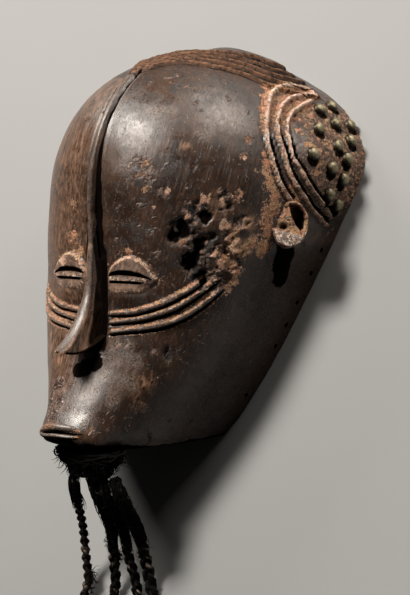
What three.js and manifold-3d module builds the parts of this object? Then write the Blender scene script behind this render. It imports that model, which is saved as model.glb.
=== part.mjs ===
// A carved wooden face mask of the Guro kind, lying on its back rim, with a plaited fibre beard.
// Millimetres. X runs across the face towards the mask's own left ear, Y towards the crown and
// Z out through the face. The floor is z = 0.

import * as THREE from "three";
import { mergeVertices } from "three/addons/utils/BufferGeometryUtils.js";
import Module from "manifold-3d";

const wasm = await Module();
wasm.setup();

// Driving dimensions

// The face is a row of ribs from the chin edge to the crown. A rib is a flat arch that stands on the back
// rim at both ends and passes over the keel, which is the middle line of the face.
// Each row: keel y, keel z, rim y, half width at the rim, fullness of the arch, pinch towards the keel.
const RIBS = [
  [-161, 84, -120, 50, 2.2, 0.36],
  [-157, 101, -107, 58, 2.2, 0.34],
  [-138, 102.5, -88, 65.5, 2.3, 0.24],
  [-111, 100.5, -62, 74.5, 2.45, 0.08],
  [-84, 103.5, -33.5, 82, 2.5, 0],
  [-54, 113, 1, 90, 2.45, 0],
  [-20, 127, 36.5, 97, 2.35, 0],
  [16, 141, 70, 99, 2.2, 0],
  [52, 142, 98, 88, 2.15, 0],
  [88, 123, 119, 67, 2.1, 0],
  [118, 84, 132, 41, 2, 0],
  [136, 42, 139, 20, 2, 0],
  [142, 0, 142, 0, 2, 0],
];
const CROWN = RIBS.length - 1;
const MIDDLE_Y = -14.65; // what stands in the middle of the length becomes y = 0
const WALL = 8;
const SEAM = 0.3; // clearance between pieces that touch

// Places on the face are given as a station, which counts the ribs from 0 at the chin edge to 12 at the
// crown, and a lean, which goes from 0 on the keel to 1 on the near rim and -1 on the far rim.
const FACE_STEPS = 21;
const ARCH_STEPS = 18;
const HOLLOW_STEPS = 9;
const BAND_STEPS = 12;
const LOOP_STEPS = 8;
const SCAR_STEPS = 5;
const FINEST = 0.15; // steps in the surface of the carving that are smaller than this are left out

const PAD = {
  height: 3.6,
  flat: 1.2,
  station: 7.35,
  spread: 0.62,
  lean: [0.66, 0.8],
  fadeIn: [5.9, 6.5],
  fadeOut: [8.6, 9.1],
};
const CREST = { height: 3, fadeIn: [10.3, 10.9], fadeOut: [11.5, 11.95], lean: [0.7, 0.92] };

// The keel wanders a little towards the far side on its way up the brow. Each place: station, lean.
const KEEL_LINE = [[5.35, -0.019], [6, -0.034], [6.5, -0.041], [7, -0.039], [7.5, -0.036], [8, -0.04], [8.5, -0.055],
  [9.15, -0.078]];
const KEEL = { halfWidth: 2.2, height: 1.9 };
const NOSE = {
  ridge: [
    [-4.9, -24, 125.6],
    [-2.8, -44, 121.3],
    [-1.2, -62, 117.2],
    [-0.4, -73, 117.3],
    [0, -84, 118.6],
    [0, -94, 121.4],
    [0, -103, 125.9],
    [0, -107.4, 129],
  ], // x, y and z along the crest of the nose, from the brow to the tip
  rootWidth: 4,
  wingWidth: 12.5,
  crestWidth: 2.2,
  tipWidth: 4.4,
  depth: 8, // how far the nose's foot is let into the face
  flank: [0.62, 0.36], // where each flank bends: share of the way to the crest's width and height
  shoulder: 1.6, // how far the crest's edges lie below its middle
  crease: 0.6, // how far below the face the flank turns down
  slant: 19, // how far the foot of the tip lies up the face from its crest
  stand: 27, // the height over which the slant grows
};
const EYE = {
  station: 5.13,
  lean: [0.193, 0.171], // near eye, far eye
  turn: [0, 0.12], // the outer end of the far eye hangs lower
  halfWidth: 17.5,
  above: 11.5,
  below: 9,
  dome: 3,
  rim: 1.5,
};
// The slit of the near eye and the groove below it: x and y along their upper and lower edges.
const SLIT = {
  top: [[12, -50.4], [19, -46.9], [27.5, -46], [34, -45.9], [41.5, -47.6]],
  foot: [[12, -51], [19, -49.8], [27.5, -48.9], [34, -48.4], [41.5, -48.1]],
};
const LID_GROOVE = {
  top: [[13.4, -53.4], [16, -52.6], [27.8, -51.1], [34, -50.4], [37.6, -50.6]],
  foot: [[13.4, -54.4], [16, -55.2], [27.8, -53.9], [34, -52.9], [37.6, -51.2]],
  depth: 3,
};
const FAR_EYE = { shift: 3, tilt: 0.12 }; // nearer to the middle by the shift, and tilted
// The section of every raised band, as shares of its half width and height, and how its ends taper.
const RIDGE = { sunk: 1.6, topWidth: 0.55, topHeight: 0.8, tip: 0.45, taperLength: 1 / 6 };
const SCAR = { halfWidth: 2.3, height: 1.9 };
const SCARS = [
  [[4.35, 0.085], [4.4, 0.169], [4.45, 0.237], [4.62, 0.341], [4.88, 0.431], [5.17, 0.508]],
  [[4.16, 0.1], [4.23, 0.179], [4.33, 0.28], [4.52, 0.39], [4.78, 0.465], [5.13, 0.546]],
  [[3.94, 0.11], [4.03, 0.2], [4.14, 0.323], [4.3, 0.421], [4.6, 0.504], [4.95, 0.566]],
];
const FAR_SCAR = { drop: 1, start: 0.035, places: 5, height: 0.6 }; // flatter and shorter than the near ones
// The mouth line runs from corner to corner. Its share s goes from -1 at the far corner to 1 at the near one.
const MOUTH = { x: -1.5, halfWidth: 20, y: -154.1, slope: 1.4, sag: 1.6, z: 98, bow: 8.1 };
const LIPS = [
  { rise: 3.4, radius: 2.3, set: 0 },
  { rise: -2.5, radius: 1.7, set: -1.2 },
]; // how far each lip lies above the mouth line, its radius and how far it is set forwards
const MOUTH_SLIT = { share: 0.9, halfHeight: 1.2, depth: 3.2 };
const FLARE = { middle: 3.2, corner: 6.5, halfWidth: 18.5, y: -155.8, z: [101.7, 90], reach: 11.5 };
const EAR = {
  station: 6.03,
  lean: 0.748,
  turn: 0.42, // share of the way that the ear is turned to face forwards
  halfWidth: 12,
  halfHeight: 15.5,
  stand: 9,
  sunk: 8,
  bevel: 1.8,
  lobe: { middle: [0, -9, 4], size: [9.5, 6.8, 8.5] },
  hollow: { middle: [4.4, 4.6, 0], halfWidth: 4.8, halfHeight: 7.2, floor: 1.5 },
  smallHollow: { middle: [-3.8, -2.6, 0], halfWidth: 2.4, halfHeight: 1.7, floor: 3 },
};

// The hairline runs across the crown and dips where the keel meets it. Each place: lean, station.
const HAIRLINE = [
  [-0.93, 9], [-0.78, 9], [-0.65, 9.07], [-0.5, 9.32], [-0.33, 9.4], [-0.24, 9.3], [-0.15, 9.08], [-0.078, 8.87],
  [-0.02, 9.04], [0.05, 9.24], [0.14, 9.37], [0.32, 9.4], [0.5, 9.32], [0.65, 9.07], [0.78, 9], [0.93, 9],
];
// The bands of hair lie side by side behind the hairline and spread out towards their ends.
const BAND = { halfWidth: 2.9, height: 2.3, start: 0.05, least: 0.47, fan: 1 };
const BAND_OFFSETS = [0, 0.23, 0.48, 0.8, 1.22];
const BAND_ENDS = [0.93, 0.93, 0.92, 0.9, 0.86];
const LOOP = { halfWidth: 2.5, height: 2.6 };
const LOOPS = [
  [[9.03, 0.895], [9.32, 0.845], [9.2, 0.718], [8.86, 0.657], [8.49, 0.637], [7.9, 0.627], [7.31, 0.647],
    [6.8, 0.685], [6.42, 0.742]],
  [[8.98, 0.895], [9.08, 0.855], [8.89, 0.762], [8.6, 0.7], [8.21, 0.67], [7.92, 0.667], [7.48, 0.685],
    [6.96, 0.715], [6.42, 0.798], [6.17, 0.86], [5.87, 0.938]],
  [[8.9, 0.85], [8.53, 0.762], [8.34, 0.725], [8.03, 0.7], [7.39, 0.712], [7.08, 0.742], [6.77, 0.784],
    [6.36, 0.868], [6.04, 0.945]],
];

const TACK = { headWidth: 9.4, height: 4, sides: 7, rings: 2 };
const TACKS = [
  [8.56, 0.853], [8.76, 0.93], [7.99, 0.818], [8.19, 0.903], [8.19, 0.973], [7.39, 0.78], [7.59, 0.88],
  [7.74, 0.945], [7.12, 0.855], [7.31, 0.917], [6.9, 0.913], [6.6, 0.873], [6.37, 0.93],
];
const RIM_HOLE = { width: 3.6, places: [5.44, 4.97, 4.37, 3.87, 3.34, 1.98], lean: 0.952 };
const PITS = [
  { place: [5.5, 0.43], size: [9, 7, 3.4] },
  { place: [5.95, 0.375], size: [6, 8, 3] },
  { place: [5.15, 0.475], size: [7, 4.5, 3] },
  { place: [3.45, 0.44], size: [3.2, 9, 2.6] },
];

// The fibre tie sits across the cut edge below the chin, and four plaits hang from it to the floor.
const TIE = { centre: [7, -159.1, 78], halfWidth: 25, halfDepth: 12, drop: 14, lump: 0.05 };
const TIE_LAYERS = [[0, 0.9], [0.25, 1], [0.7, 1], [1, 0.88]]; // share of the drop, share of the width
const PLAIT_SIDES = 8;
const KNOT_RADIUS = 5;
const PLAITS = [
  { name: "plait_1", width: 6.6, route: [[-7, -172.9, 71.1], [-7.5, -183, 65.5], [-16, -200, 38],
    [-20.5, -217, 20], [-21.5, -236, 7.5], [-25.5, -252, 3.8], [-33, -272, 3.6], [-36, -294, 3.6],
    [-30, -314, 3.8]] },
  { name: "plait_2", width: 7.4, route: [[7.5, -172.9, 71.1], [11.5, -183, 65.5], [8, -200, 37], [4.3, -217, 20],
    [2.6, -234, 8], [1, -250, 4.2], [-3, -270, 4], [-2, -292, 4], [6, -312, 4]] },
  { name: "plait_3", width: 7.4, route: [[16.5, -172.9, 71.1], [20.5, -183, 65.5], [17, -199, 36],
    [16.5, -214, 21], [19.5, -230, 8.5], [23, -246, 4.2], [24, -266, 4], [29, -286, 4], [40, -303, 4]] },
  { name: "plait_4", width: 8.6, route: [[27, -172.9, 71.1], [32, -183, 65.5], [29.5, -194, 41],
    [28.3, -208, 22.5], [29, -223, 10], [36, -240, 5], [45, -256, 4.7], [58, -271, 4.7], [74, -281, 4.9]] },
];
const PLAIT_STEPS = 13;

const finish = (name, color, roughness, metalness) =>
  new THREE.MeshStandardMaterial({ name, color, roughness, metalness });
const WOOD = finish("wood", 0x2c1c14, 0.42, 0);
const BRASS = finish("brass", 0x7a6f3c, 0.45, 0.9);
const FIBRE = finish("fibre", 0x17110e, 0.95, 0);

// Small helpers

const clamp = (value, low, high) => Math.min(Math.max(value, low), high);
const mix = (a, b, t) => a + (b - a) * t;
const smooth = (from, to, value) => THREE.MathUtils.smoothstep(value, from, to);
const count = (n) => Array.from({ length: n }, (_, i) => i);
const spread = (n) => count(n + 1).map((i) => i / n);

function catmull(rows, position) {
  const last = rows.length - 1;
  const first = clamp(Math.floor(position), 0, last - 1);
  const t = clamp(position, 0, last) - first;
  const before = first > 0 ? rows[first - 1] : rows[0].map((v, k) => 2 * v - rows[1][k]);
  const after = first + 2 <= last ? rows[first + 2] : rows[last].map((v, k) => 2 * v - rows[last - 1][k]);
  return rows[first].map((b, k) => {
    const [a, c, d] = [before[k], rows[first + 1][k], after[k]];
    const [slope, bend, twist] = [c - a, 2 * a - 5 * b + 4 * c - d, 3 * b - a - 3 * c + d];
    return b + 0.5 * (slope * t + bend * t ** 2 + twist * t ** 3);
  });
}

// Closed meshes and solids

function manifold(vertProperties, triVerts) {
  return new wasm.Manifold(new wasm.Mesh({ numProp: 3, vertProperties, triVerts }));
}

function solidFrom(points, faces) {
  const flat = new Float32Array(points.flatMap((p) => [p.x, p.y, p.z]));
  const sixth = ([a, b, c]) => points[a].dot(new THREE.Vector3().crossVectors(points[b], points[c]));
  const volume = faces.reduce((sum, face) => sum + sixth(face), 0);
  const outward = volume < 0 ? faces.map(([a, b, c]) => [a, c, b]) : faces;
  return manifold(flat, new Uint32Array(outward.flat()));
}

// A skin over a row of rings of points; a ring of one point closes it to a tip, and others get a cap.
function loft(rings) {
  const points = rings.flat();
  const faces = [];
  let start = 0;
  const starts = rings.map((ring) => (start += ring.length) - ring.length);
  for (const i of count(rings.length - 1)) {
    const [a, b, sides] = [starts[i], starts[i + 1], Math.max(rings[i].length, rings[i + 1].length)];
    for (const j of count(sides)) {
      const k = (j + 1) % sides;
      if (rings[i].length > 1) faces.push([a + j, a + k, rings[i + 1].length > 1 ? b + k : b]);
      if (rings[i + 1].length > 1) faces.push([rings[i].length > 1 ? a + j : a, b + k, b + j]);
    }
  }
  for (const [ring, first, forward] of [[rings[0], starts[0], false], [rings.at(-1), starts.at(-1), true]]) {
    if (ring.length === 1) continue;
    const middle = ring.reduce((sum, p) => sum.add(p), new THREE.Vector3()).divideScalar(ring.length);
    points.push(middle);
    for (const j of count(ring.length)) {
      const [p, q] = [first + j, first + ((j + 1) % ring.length)];
      faces.push(forward ? [p, q, points.length - 1] : [q, p, points.length - 1]);
    }
  }
  return solidFrom(points, faces);
}

function solidOf(geometry) {
  const bare = geometry.clone();
  bare.deleteAttribute("normal");
  bare.deleteAttribute("uv");
  const merged = mergeVertices(bare, 1e-4);
  return manifold(new Float32Array(merged.attributes.position.array), new Uint32Array(merged.index.array));
}

function geometryOf(solid) {
  const { vertProperties, triVerts } = solid.getMesh();
  const geometry = new THREE.BufferGeometry();
  geometry.setAttribute("position", new THREE.BufferAttribute(new Float32Array(vertProperties), 3));
  geometry.setIndex(new THREE.BufferAttribute(new Uint32Array(triVerts), 1));
  return geometry;
}

const join = (solids) => solids.reduce((whole, solid) => whole.add(solid));

// The face as a surface

function bareSkin(station, lean) {
  const [keelY, keelZ, rimY, halfWidth, fullness, pinch] = catmull(RIBS, station);
  const angle = (lean * Math.PI) / 2;
  const [across, up] = [Math.abs(Math.sin(angle)), Math.abs(Math.cos(angle))];
  const reach = (across ** fullness + up ** fullness) ** (-1 / fullness);
  const rise = reach * up;
  const x = Math.sign(lean) * Math.abs(halfWidth) * reach * across * (1 - pinch * rise ** 1.5);
  return new THREE.Vector3(x, mix(rimY, keelY, rise), keelZ * rise);
}

function skinFrame(station, lean) {
  const [s, l, step] = [clamp(station, 0.01, CROWN - 0.05), clamp(lean, -0.995, 0.995), 0.004];
  const along = bareSkin(s + step, l).sub(bareSkin(s - step, l)).normalize();
  const across = bareSkin(s, l + step).sub(bareSkin(s, l - step)).normalize();
  return { along, across, normal: new THREE.Vector3().crossVectors(across, along).normalize() };
}

// How far the tack pads and the crest of hair stand proud of the ribs.
function bulge(station, lean) {
  const side = Math.abs(lean);
  const bell = Math.exp(-(((station - PAD.station) / PAD.spread) ** 2));
  const window = smooth(...PAD.fadeIn, station) * (1 - smooth(...PAD.fadeOut, station));
  const pad = smooth(...PAD.lean, side) * (PAD.height * bell + PAD.flat * window);
  const behind = smooth(...CREST.fadeIn, station) * (1 - smooth(...CREST.fadeOut, station));
  return pad + CREST.height * behind * (1 - smooth(...CREST.lean, side));
}

function skin(station, lean, proud = 0) {
  const point = bareSkin(station, lean);
  point.addScaledVector(skinFrame(station, lean).normal, bulge(station, lean) + proud);
  if (Math.abs(lean) === 1) point.z = 0;
  return point;
}

// How far the face swells out round the mouth.
function flare(point) {
  const x = clamp(point.x, -FLARE.halfWidth, FLARE.halfWidth);
  const share = (x / FLARE.halfWidth) ** 2;
  const distance = point.distanceTo(new THREE.Vector3(x, FLARE.y, mix(...FLARE.z, share)));
  return mix(FLARE.middle, FLARE.corner, share) * Math.exp(-((distance / FLARE.reach) ** 1.6));
}

function outerSolid() {
  const rings = spread(FACE_STEPS).map((t) => {
    const station = CROWN * mix(t, t ** 1.25, 1 - t);
    if (t === 1) return [skin(CROWN, 1)];
    return spread(ARCH_STEPS).map((u) => skin(station, 2 * u - 1, flare(bareSkin(station, 2 * u - 1))));
  });
  return loft(rings);
}

// The hollow runs out through the open back and through the open end below the chin.
function hollowSolid() {
  const past = 12;
  const lastStation = 11.1;
  const ring = (station) => {
    const arch = spread(HOLLOW_STEPS).map((u) => {
      const place = [station, mix(-1, 1, u)];
      return bareSkin(...place).addScaledVector(skinFrame(...place).normal, -WALL);
    });
    const [first, last] = [arch[0].clone().setZ(-past), arch.at(-1).clone().setZ(-past)];
    return [first, ...arch, last];
  };
  const [keelY, keelZ, rimY] = RIBS[0];
  const out = new THREE.Vector3(0, -keelZ, keelY - rimY).normalize().multiplyScalar(past);
  const open = ring(0).map((p) => p.clone().add(out));
  return loft([open, ...spread(HOLLOW_STEPS).map((t) => ring(t * lastStation))]);
}

// A raised band along a line of places on the face. Its two lower corners lie under the skin.
function ridge(places, { halfWidth, height }, steps) {
  const { sunk, topWidth, topHeight, tip, taperLength } = RIDGE;
  const shape = [[-1, -sunk], [-topWidth, topHeight], [topWidth, topHeight], [1, -sunk]];
  const at = (t) => catmull(places, t * (places.length - 1));
  const rings = spread(steps).map((t) => {
    const [station, lean] = at(t);
    const [before, after] = [at(Math.max(t - 0.01, 0)), at(Math.min(t + 0.01, 1))];
    const heading = skin(...after).sub(skin(...before)).normalize();
    const { normal } = skinFrame(station, lean);
    const side = new THREE.Vector3().crossVectors(heading, normal).normalize();
    const taper = mix(tip, 1, Math.min(1, t / taperLength, (1 - t) / taperLength));
    const middle = skin(station, lean);
    return shape.map(([u, v]) => middle.clone().addScaledVector(side, u * halfWidth * taper)
      .addScaledVector(normal, v > 0 ? v * height * taper : v));
  });
  return loft(rings);
}

const mirrored = (places) => places.map(([station, lean]) => [station, -lean]);
const loopSolids = () => LOOPS.flatMap((line) => [line, mirrored(line)]).map((line) => ridge(line, LOOP, LOOP_STEPS));

function scarSolids() {
  const { drop, start, places, height } = FAR_SCAR;
  const far = SCARS.map((scar) => scar.slice(0, places).map(([station, lean]) =>
    [station - drop * lean ** 2, -lean + start * Math.max(0, 1 - lean / 0.3)]));
  const flat = { ...SCAR, height: SCAR.height * height };
  return [...SCARS.map((scar) => ridge(scar, SCAR, SCAR_STEPS)), ...far.map((scar) => ridge(scar, flat, SCAR_STEPS))];
}

// Hair

function hairlineAt(lean) {
  const next = clamp(HAIRLINE.findIndex(([place]) => place > lean), 1, HAIRLINE.length - 1);
  const [[from, low], [to, high]] = [HAIRLINE[next - 1], HAIRLINE[next]];
  return mix(low, high, (lean - from) / (to - from));
}

function bandLine(offset, end) {
  const leans = HAIRLINE.map(([lean]) => clamp(lean, -end, end));
  return leans.map((lean) => [hairlineAt(lean) + BAND.start + offset * (BAND.least + BAND.fan * Math.abs(lean)), lean]);
}

const hairSolids = () =>
  BAND_OFFSETS.map((offset, k) => ridge(bandLine(offset, BAND_ENDS[k]), BAND, BAND_STEPS));

// Face carving

const keelSolid = () => ridge(KEEL_LINE, KEEL, 9);

// The rings of the nose lean more and more, so that its underside slopes up to the face behind the tip.
function noseSolid() {
  const last = NOSE.ridge.length - 1;
  const rings = NOSE.ridge.map(([middle, y, z], i) => {
    const t = i / last;
    const face = keelHeight(y);
    const foot = Math.min(face, z) - NOSE.depth;
    const base = mix(NOSE.rootWidth, NOSE.wingWidth, t ** 0.8);
    const crest = mix(NOSE.crestWidth, NOSE.tipWidth, smooth(0, 0.8, t));
    const [inwards, upwards] = NOSE.flank;
    const flank = [mix(base, crest, inwards), mix(face, z, upwards)];
    const half = [[base, foot], [base, face - NOSE.crease], flank, [crest, z - NOSE.shoulder], [0, z]];
    const other = half.slice(0, -1).reverse().map(([x, h]) => [-x, h]);
    const slant = NOSE.slant * smooth(0.25, 1, t);
    return [...half, ...other].map(([x, h]) =>
      new THREE.Vector3(middle + x, y + slant * ((z - h) / NOSE.stand) ** 2.4, h));
  });
  return loft(rings);
}

function keelHeight(y) {
  const above = RIBS.findIndex((rib) => rib[0] > y);
  const [[y0, z0], [y1, z1]] = [RIBS[above - 1], RIBS[above]];
  return mix(z0, z1, (y - y0) / (y1 - y0));
}

// A solid in the tangent plane of a place on the face: u runs outwards across the face, v up and w out.
function placed(geometry, station, lean, turn = 0) {
  const { normal } = skinFrame(station, lean);
  const outwards = new THREE.Vector3(Math.sign(lean), 0, 0);
  const w = normal.clone().lerp(new THREE.Vector3(0, 0, 1), turn).normalize();
  const v = new THREE.Vector3().crossVectors(w, outwards).multiplyScalar(Math.sign(lean)).normalize();
  const u = new THREE.Vector3().crossVectors(v, w);
  const frame = new THREE.Matrix4().makeBasis(u, v, w).setPosition(skin(station, lean));
  return solidOf(geometry.applyMatrix4(frame));
}

function lens(halfWidth, above, below, steps = 8) {
  return new THREE.Shape(count(2 * steps).map((k) => {
    const angle = (k * Math.PI) / steps;
    const y = Math.sin(angle);
    return new THREE.Vector2(Math.cos(angle) * halfWidth, y * (y > 0 ? above : below));
  }));
}

const plate = (shape, from, depth, bevel = 0) => new THREE.ExtrudeGeometry(shape, {
  depth,
  bevelEnabled: bevel > 0,
  bevelThickness: bevel,
  bevelSize: bevel,
  bevelOffset: -bevel,
  bevelSegments: 1,
}).translate(0, 0, from);

function eyeSolid(side) {
  const which = side > 0 ? 0 : 1;
  const lid = plate(lens(EYE.halfWidth, EYE.above, EYE.below), -4, 4 + EYE.dome - EYE.rim, EYE.rim);
  return placed(lid.rotateZ(-EYE.turn[which]), EYE.station, EYE.lean[which] * side);
}

// Height of the lid over a point near the eye.
function lidHeight(x, y) {
  const places = spread(30).flatMap((s) => spread(30).map((l) => skin(mix(4.4, 5.8, s), mix(0.05, 0.4, l), EYE.dome)));
  const gap = (p) => Math.hypot(p.x - x, p.y - y);
  return places.reduce((best, p) => (gap(p) < gap(best) ? p : best)).z;
}

// A cutter between two lines in x and y on the eye of that side.
function slotCut({ top, foot, depth }, side) {
  const high = 145;
  const through = 60;
  const place = ([x, y], z) => side > 0
    ? new THREE.Vector3(x, y, z)
    : new THREE.Vector3(FAR_EYE.shift - x, y - FAR_EYE.tilt * (x - 12), z);
  const low = ([x, y]) => (depth ? lidHeight(x, y) - depth : through);
  return loft(top.map((a, i) => [place(foot[i], low(foot[i])), place(a, low(a)), place(a, high), place(foot[i], high)]));
}

const eyeCuts = (side) => [slotCut(SLIT, side), slotCut(LID_GROOVE, side)];

// A point of the mouth line, at its share from corner to corner.
function mouthAt(s, rise = 0) {
  const [full, round] = [1 - s ** 4, 1 - s * s];
  const y = MOUTH.y + MOUTH.slope * s + (rise - MOUTH.sag) * full;
  return new THREE.Vector3(MOUTH.x + MOUTH.halfWidth * s, y, MOUTH.z + MOUTH.bow * round);
}

function lipSolid({ rise, radius, set }) {
  const rings = spread(9).map((t) => {
    const s = 2 * t - 1;
    const full = 1 - s * s;
    const centre = mouthAt(s, rise).add(new THREE.Vector3(0, 0, set * full));
    const size = radius * (0.3 + 0.7 * Math.sqrt(full));
    return count(6).map((k) => {
      const angle = (k / 6) * 2 * Math.PI;
      const around = new THREE.Vector3(0, Math.cos(angle), Math.sin(angle));
      return centre.clone().addScaledVector(around, size);
    });
  });
  return loft(rings);
}

function mouthCut() {
  const { share, halfHeight, depth } = MOUTH_SLIT;
  return loft(spread(6).map((t) => {
    const s = share * (2 * t - 1);
    const [middle, size] = [mouthAt(s), halfHeight * Math.sqrt(1 - (s / share) ** 2) + 0.15];
    const [low, high] = [middle.z - depth, middle.z + 4 * depth];
    const corners = [[-size, low], [size, low], [size, high], [-size, high]];
    return corners.map(([dy, z]) => new THREE.Vector3(middle.x, middle.y + dy, z));
  }));
}

function earSolid(side) {
  const place = [EAR.station, EAR.lean * side, EAR.turn];
  const oval = (halfWidth, halfHeight) => lens(halfWidth, halfHeight, halfHeight, 6);
  const body = plate(oval(EAR.halfWidth, EAR.halfHeight), -EAR.sunk, EAR.sunk + EAR.stand, EAR.bevel);
  const shell = placed(body, ...place);
  const { size, middle } = EAR.lobe;
  const lobe = placed(new THREE.SphereGeometry(1, 8, 6).scale(...size).translate(...middle), ...place);
  const hollows = [EAR.hollow, EAR.smallHollow].map((hollow) => {
    const cutter = plate(oval(hollow.halfWidth, hollow.halfHeight), hollow.floor, 2 * EAR.stand);
    return placed(cutter.translate(...hollow.middle), ...place);
  });
  return hollows.reduce((ear, hollow) => ear.subtract(hollow), shell.add(lobe));
}

function rimHoleCuts() {
  const radius = RIM_HOLE.width / 2;
  const pin = () => new THREE.CylinderGeometry(radius, radius, 5 * WALL, 6).rotateX(Math.PI / 2);
  const leans = [RIM_HOLE.lean, -RIM_HOLE.lean];
  return RIM_HOLE.places.flatMap((station) => leans.map((lean) => placed(pin(), station, lean)));
}

// Worn and broken places on the near temple and cheek.
function pitCuts() {
  return PITS.map(({ place, size }) => placed(new THREE.DodecahedronGeometry(1, 0).scale(...size), ...place));
}

function maskSolid() {
  const carved = join([
    outerSolid(),
    noseSolid(),
    keelSolid(),
    ...LIPS.map(lipSolid),
    ...scarSolids(),
    ...hairSolids(),
    ...loopSolids(),
    ...[1, -1].flatMap((side) => [eyeSolid(side), earSolid(side)]),
  ]);
  const cuts = [hollowSolid(), mouthCut(), ...[1, -1].flatMap(eyeCuts), ...rimHoleCuts(), ...pitCuts()];
  return cuts.reduce((solid, cut) => solid.subtract(cut), carved).simplify(FINEST);
}

// Tacks

// A tack's flat underside clears the highest wood under its head.
function tackMesh(place, name, wood) {
  const radius = TACK.headWidth / 2;
  const dome = spread(TACK.rings).map((t) => {
    const angle = (t * Math.PI) / 2;
    return new THREE.Vector2(t < 1 ? radius * Math.cos(angle) : 0, TACK.height * Math.sin(angle));
  });
  const profile = [new THREE.Vector2(0, 0), ...dome];
  const geometry = new THREE.LatheGeometry(profile, TACK.sides).rotateX(Math.PI / 2);
  const { normal } = skinFrame(...place);
  const middle = skin(...place);
  const turn = new THREE.Quaternion().setFromUnitVectors(new THREE.Vector3(0, 0, 1), normal);
  const probes = [[0, 0], ...count(8).map((k) => [Math.cos((k * Math.PI) / 4), Math.sin((k * Math.PI) / 4)])];
  const above = 20;
  const seats = probes.map(([a, b]) => {
    const from = new THREE.Vector3(a * radius, b * radius, above).applyQuaternion(turn).add(middle);
    const hit = new THREE.Raycaster(from, normal.clone().negate()).intersectObject(wood)[0];
    return above - hit.distance;
  });
  const mesh = new THREE.Mesh(geometry, BRASS);
  mesh.name = name;
  mesh.quaternion.copy(turn);
  mesh.position.copy(middle).addScaledVector(normal, Math.max(...seats) + SEAM);
  return mesh;
}

// Beard

function tieMesh() {
  const [keelY, keelZ, rimY] = RIBS[0];
  const down = new THREE.Vector3(0, -keelZ, keelY - rimY).normalize();
  const back = new THREE.Vector3(0, down.z, -down.y);
  const rings = TIE_LAYERS.map(([depth, width]) => count(12).map((k) => {
    const angle = (k / 12) * 2 * Math.PI;
    const lump = width * (1 + TIE.lump * Math.sin(3 * angle + 5 * depth));
    return new THREE.Vector3(...TIE.centre).addScaledVector(down, depth * TIE.drop)
      .add(new THREE.Vector3(Math.cos(angle) * TIE.halfWidth * lump, 0, 0))
      .addScaledVector(back, Math.sin(angle) * TIE.halfDepth * lump);
  }));
  const mesh = new THREE.Mesh(geometryOf(loft(rings)), FIBRE);
  mesh.name = "beard_tie";
  return mesh;
}

function plaitMeshes({ name, width, route }) {
  const section = new THREE.Shape(count(PLAIT_SIDES).map((k) => {
    const angle = ((k + 0.5) / PLAIT_SIDES) * 2 * Math.PI;
    return new THREE.Vector2((Math.cos(angle) * width) / 2, (Math.sin(angle) * width) / 2);
  }));
  const path = new THREE.CatmullRomCurve3(route.map((p) => new THREE.Vector3(...p)), false, "centripetal");
  const tube = new THREE.ExtrudeGeometry(section, { steps: PLAIT_STEPS, extrudePath: path });
  const plait = new THREE.Mesh(geometryOf(solidOf(tube)), FIBRE);
  plait.name = name;
  const knot = new THREE.Mesh(new THREE.SphereGeometry(KNOT_RADIUS, 6, 4), FIBRE);
  knot.name = `${name}_knot`;
  const heading = path.getTangent(1).setZ(0).normalize();
  knot.position.copy(path.getPoint(1)).addScaledVector(heading, KNOT_RADIUS + SEAM).setZ(KNOT_RADIUS);
  return [plait, knot];
}

// The whole object

const mask = new THREE.Mesh(geometryOf(maskSolid()), WOOD);
mask.name = "mask";

const part = new THREE.Group();
part.position.y = -MIDDLE_Y;
part.add(mask);
TACKS.forEach((place, i) => {
  part.add(tackMesh(place, `tack_left_${i + 1}`, mask));
  part.add(tackMesh(mirrored([place])[0], `tack_right_${i + 1}`, mask));
});
part.add(tieMesh());
PLAITS.forEach((plait) => part.add(...plaitMeshes(plait)));

export default part;
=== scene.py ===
"""A carved wooden face mask of the Guro kind, lying on its back rim, with a plaited fibre beard.

Places on the carving are in millimetres, in the carving's own frame: x across the face towards the mask's
left ear, y towards the crown and z out through the face. A place on the face is also a station and a lean.
The station counts the ribs from 0 at the chin edge to 12 at the crown. The lean goes from 0 on the keel to 1
on the near rim and -1 on the far one. Meshes are made in metres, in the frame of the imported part.
"""

import math

import bpy
import numpy as np
from mathutils import Matrix, Vector, noise
from mathutils.kdtree import KDTree


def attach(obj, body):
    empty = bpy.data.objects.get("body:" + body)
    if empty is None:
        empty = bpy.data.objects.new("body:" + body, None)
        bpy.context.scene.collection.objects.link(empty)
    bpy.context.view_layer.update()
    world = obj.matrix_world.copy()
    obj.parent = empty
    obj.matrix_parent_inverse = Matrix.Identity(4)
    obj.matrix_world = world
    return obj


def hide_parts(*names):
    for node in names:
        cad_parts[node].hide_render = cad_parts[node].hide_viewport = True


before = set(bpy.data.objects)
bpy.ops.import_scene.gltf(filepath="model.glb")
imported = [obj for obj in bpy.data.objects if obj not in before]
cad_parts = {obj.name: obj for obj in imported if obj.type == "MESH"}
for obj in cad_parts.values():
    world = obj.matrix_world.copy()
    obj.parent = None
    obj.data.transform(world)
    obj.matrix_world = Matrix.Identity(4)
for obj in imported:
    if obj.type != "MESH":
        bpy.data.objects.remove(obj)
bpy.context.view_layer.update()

# Driving values

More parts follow.
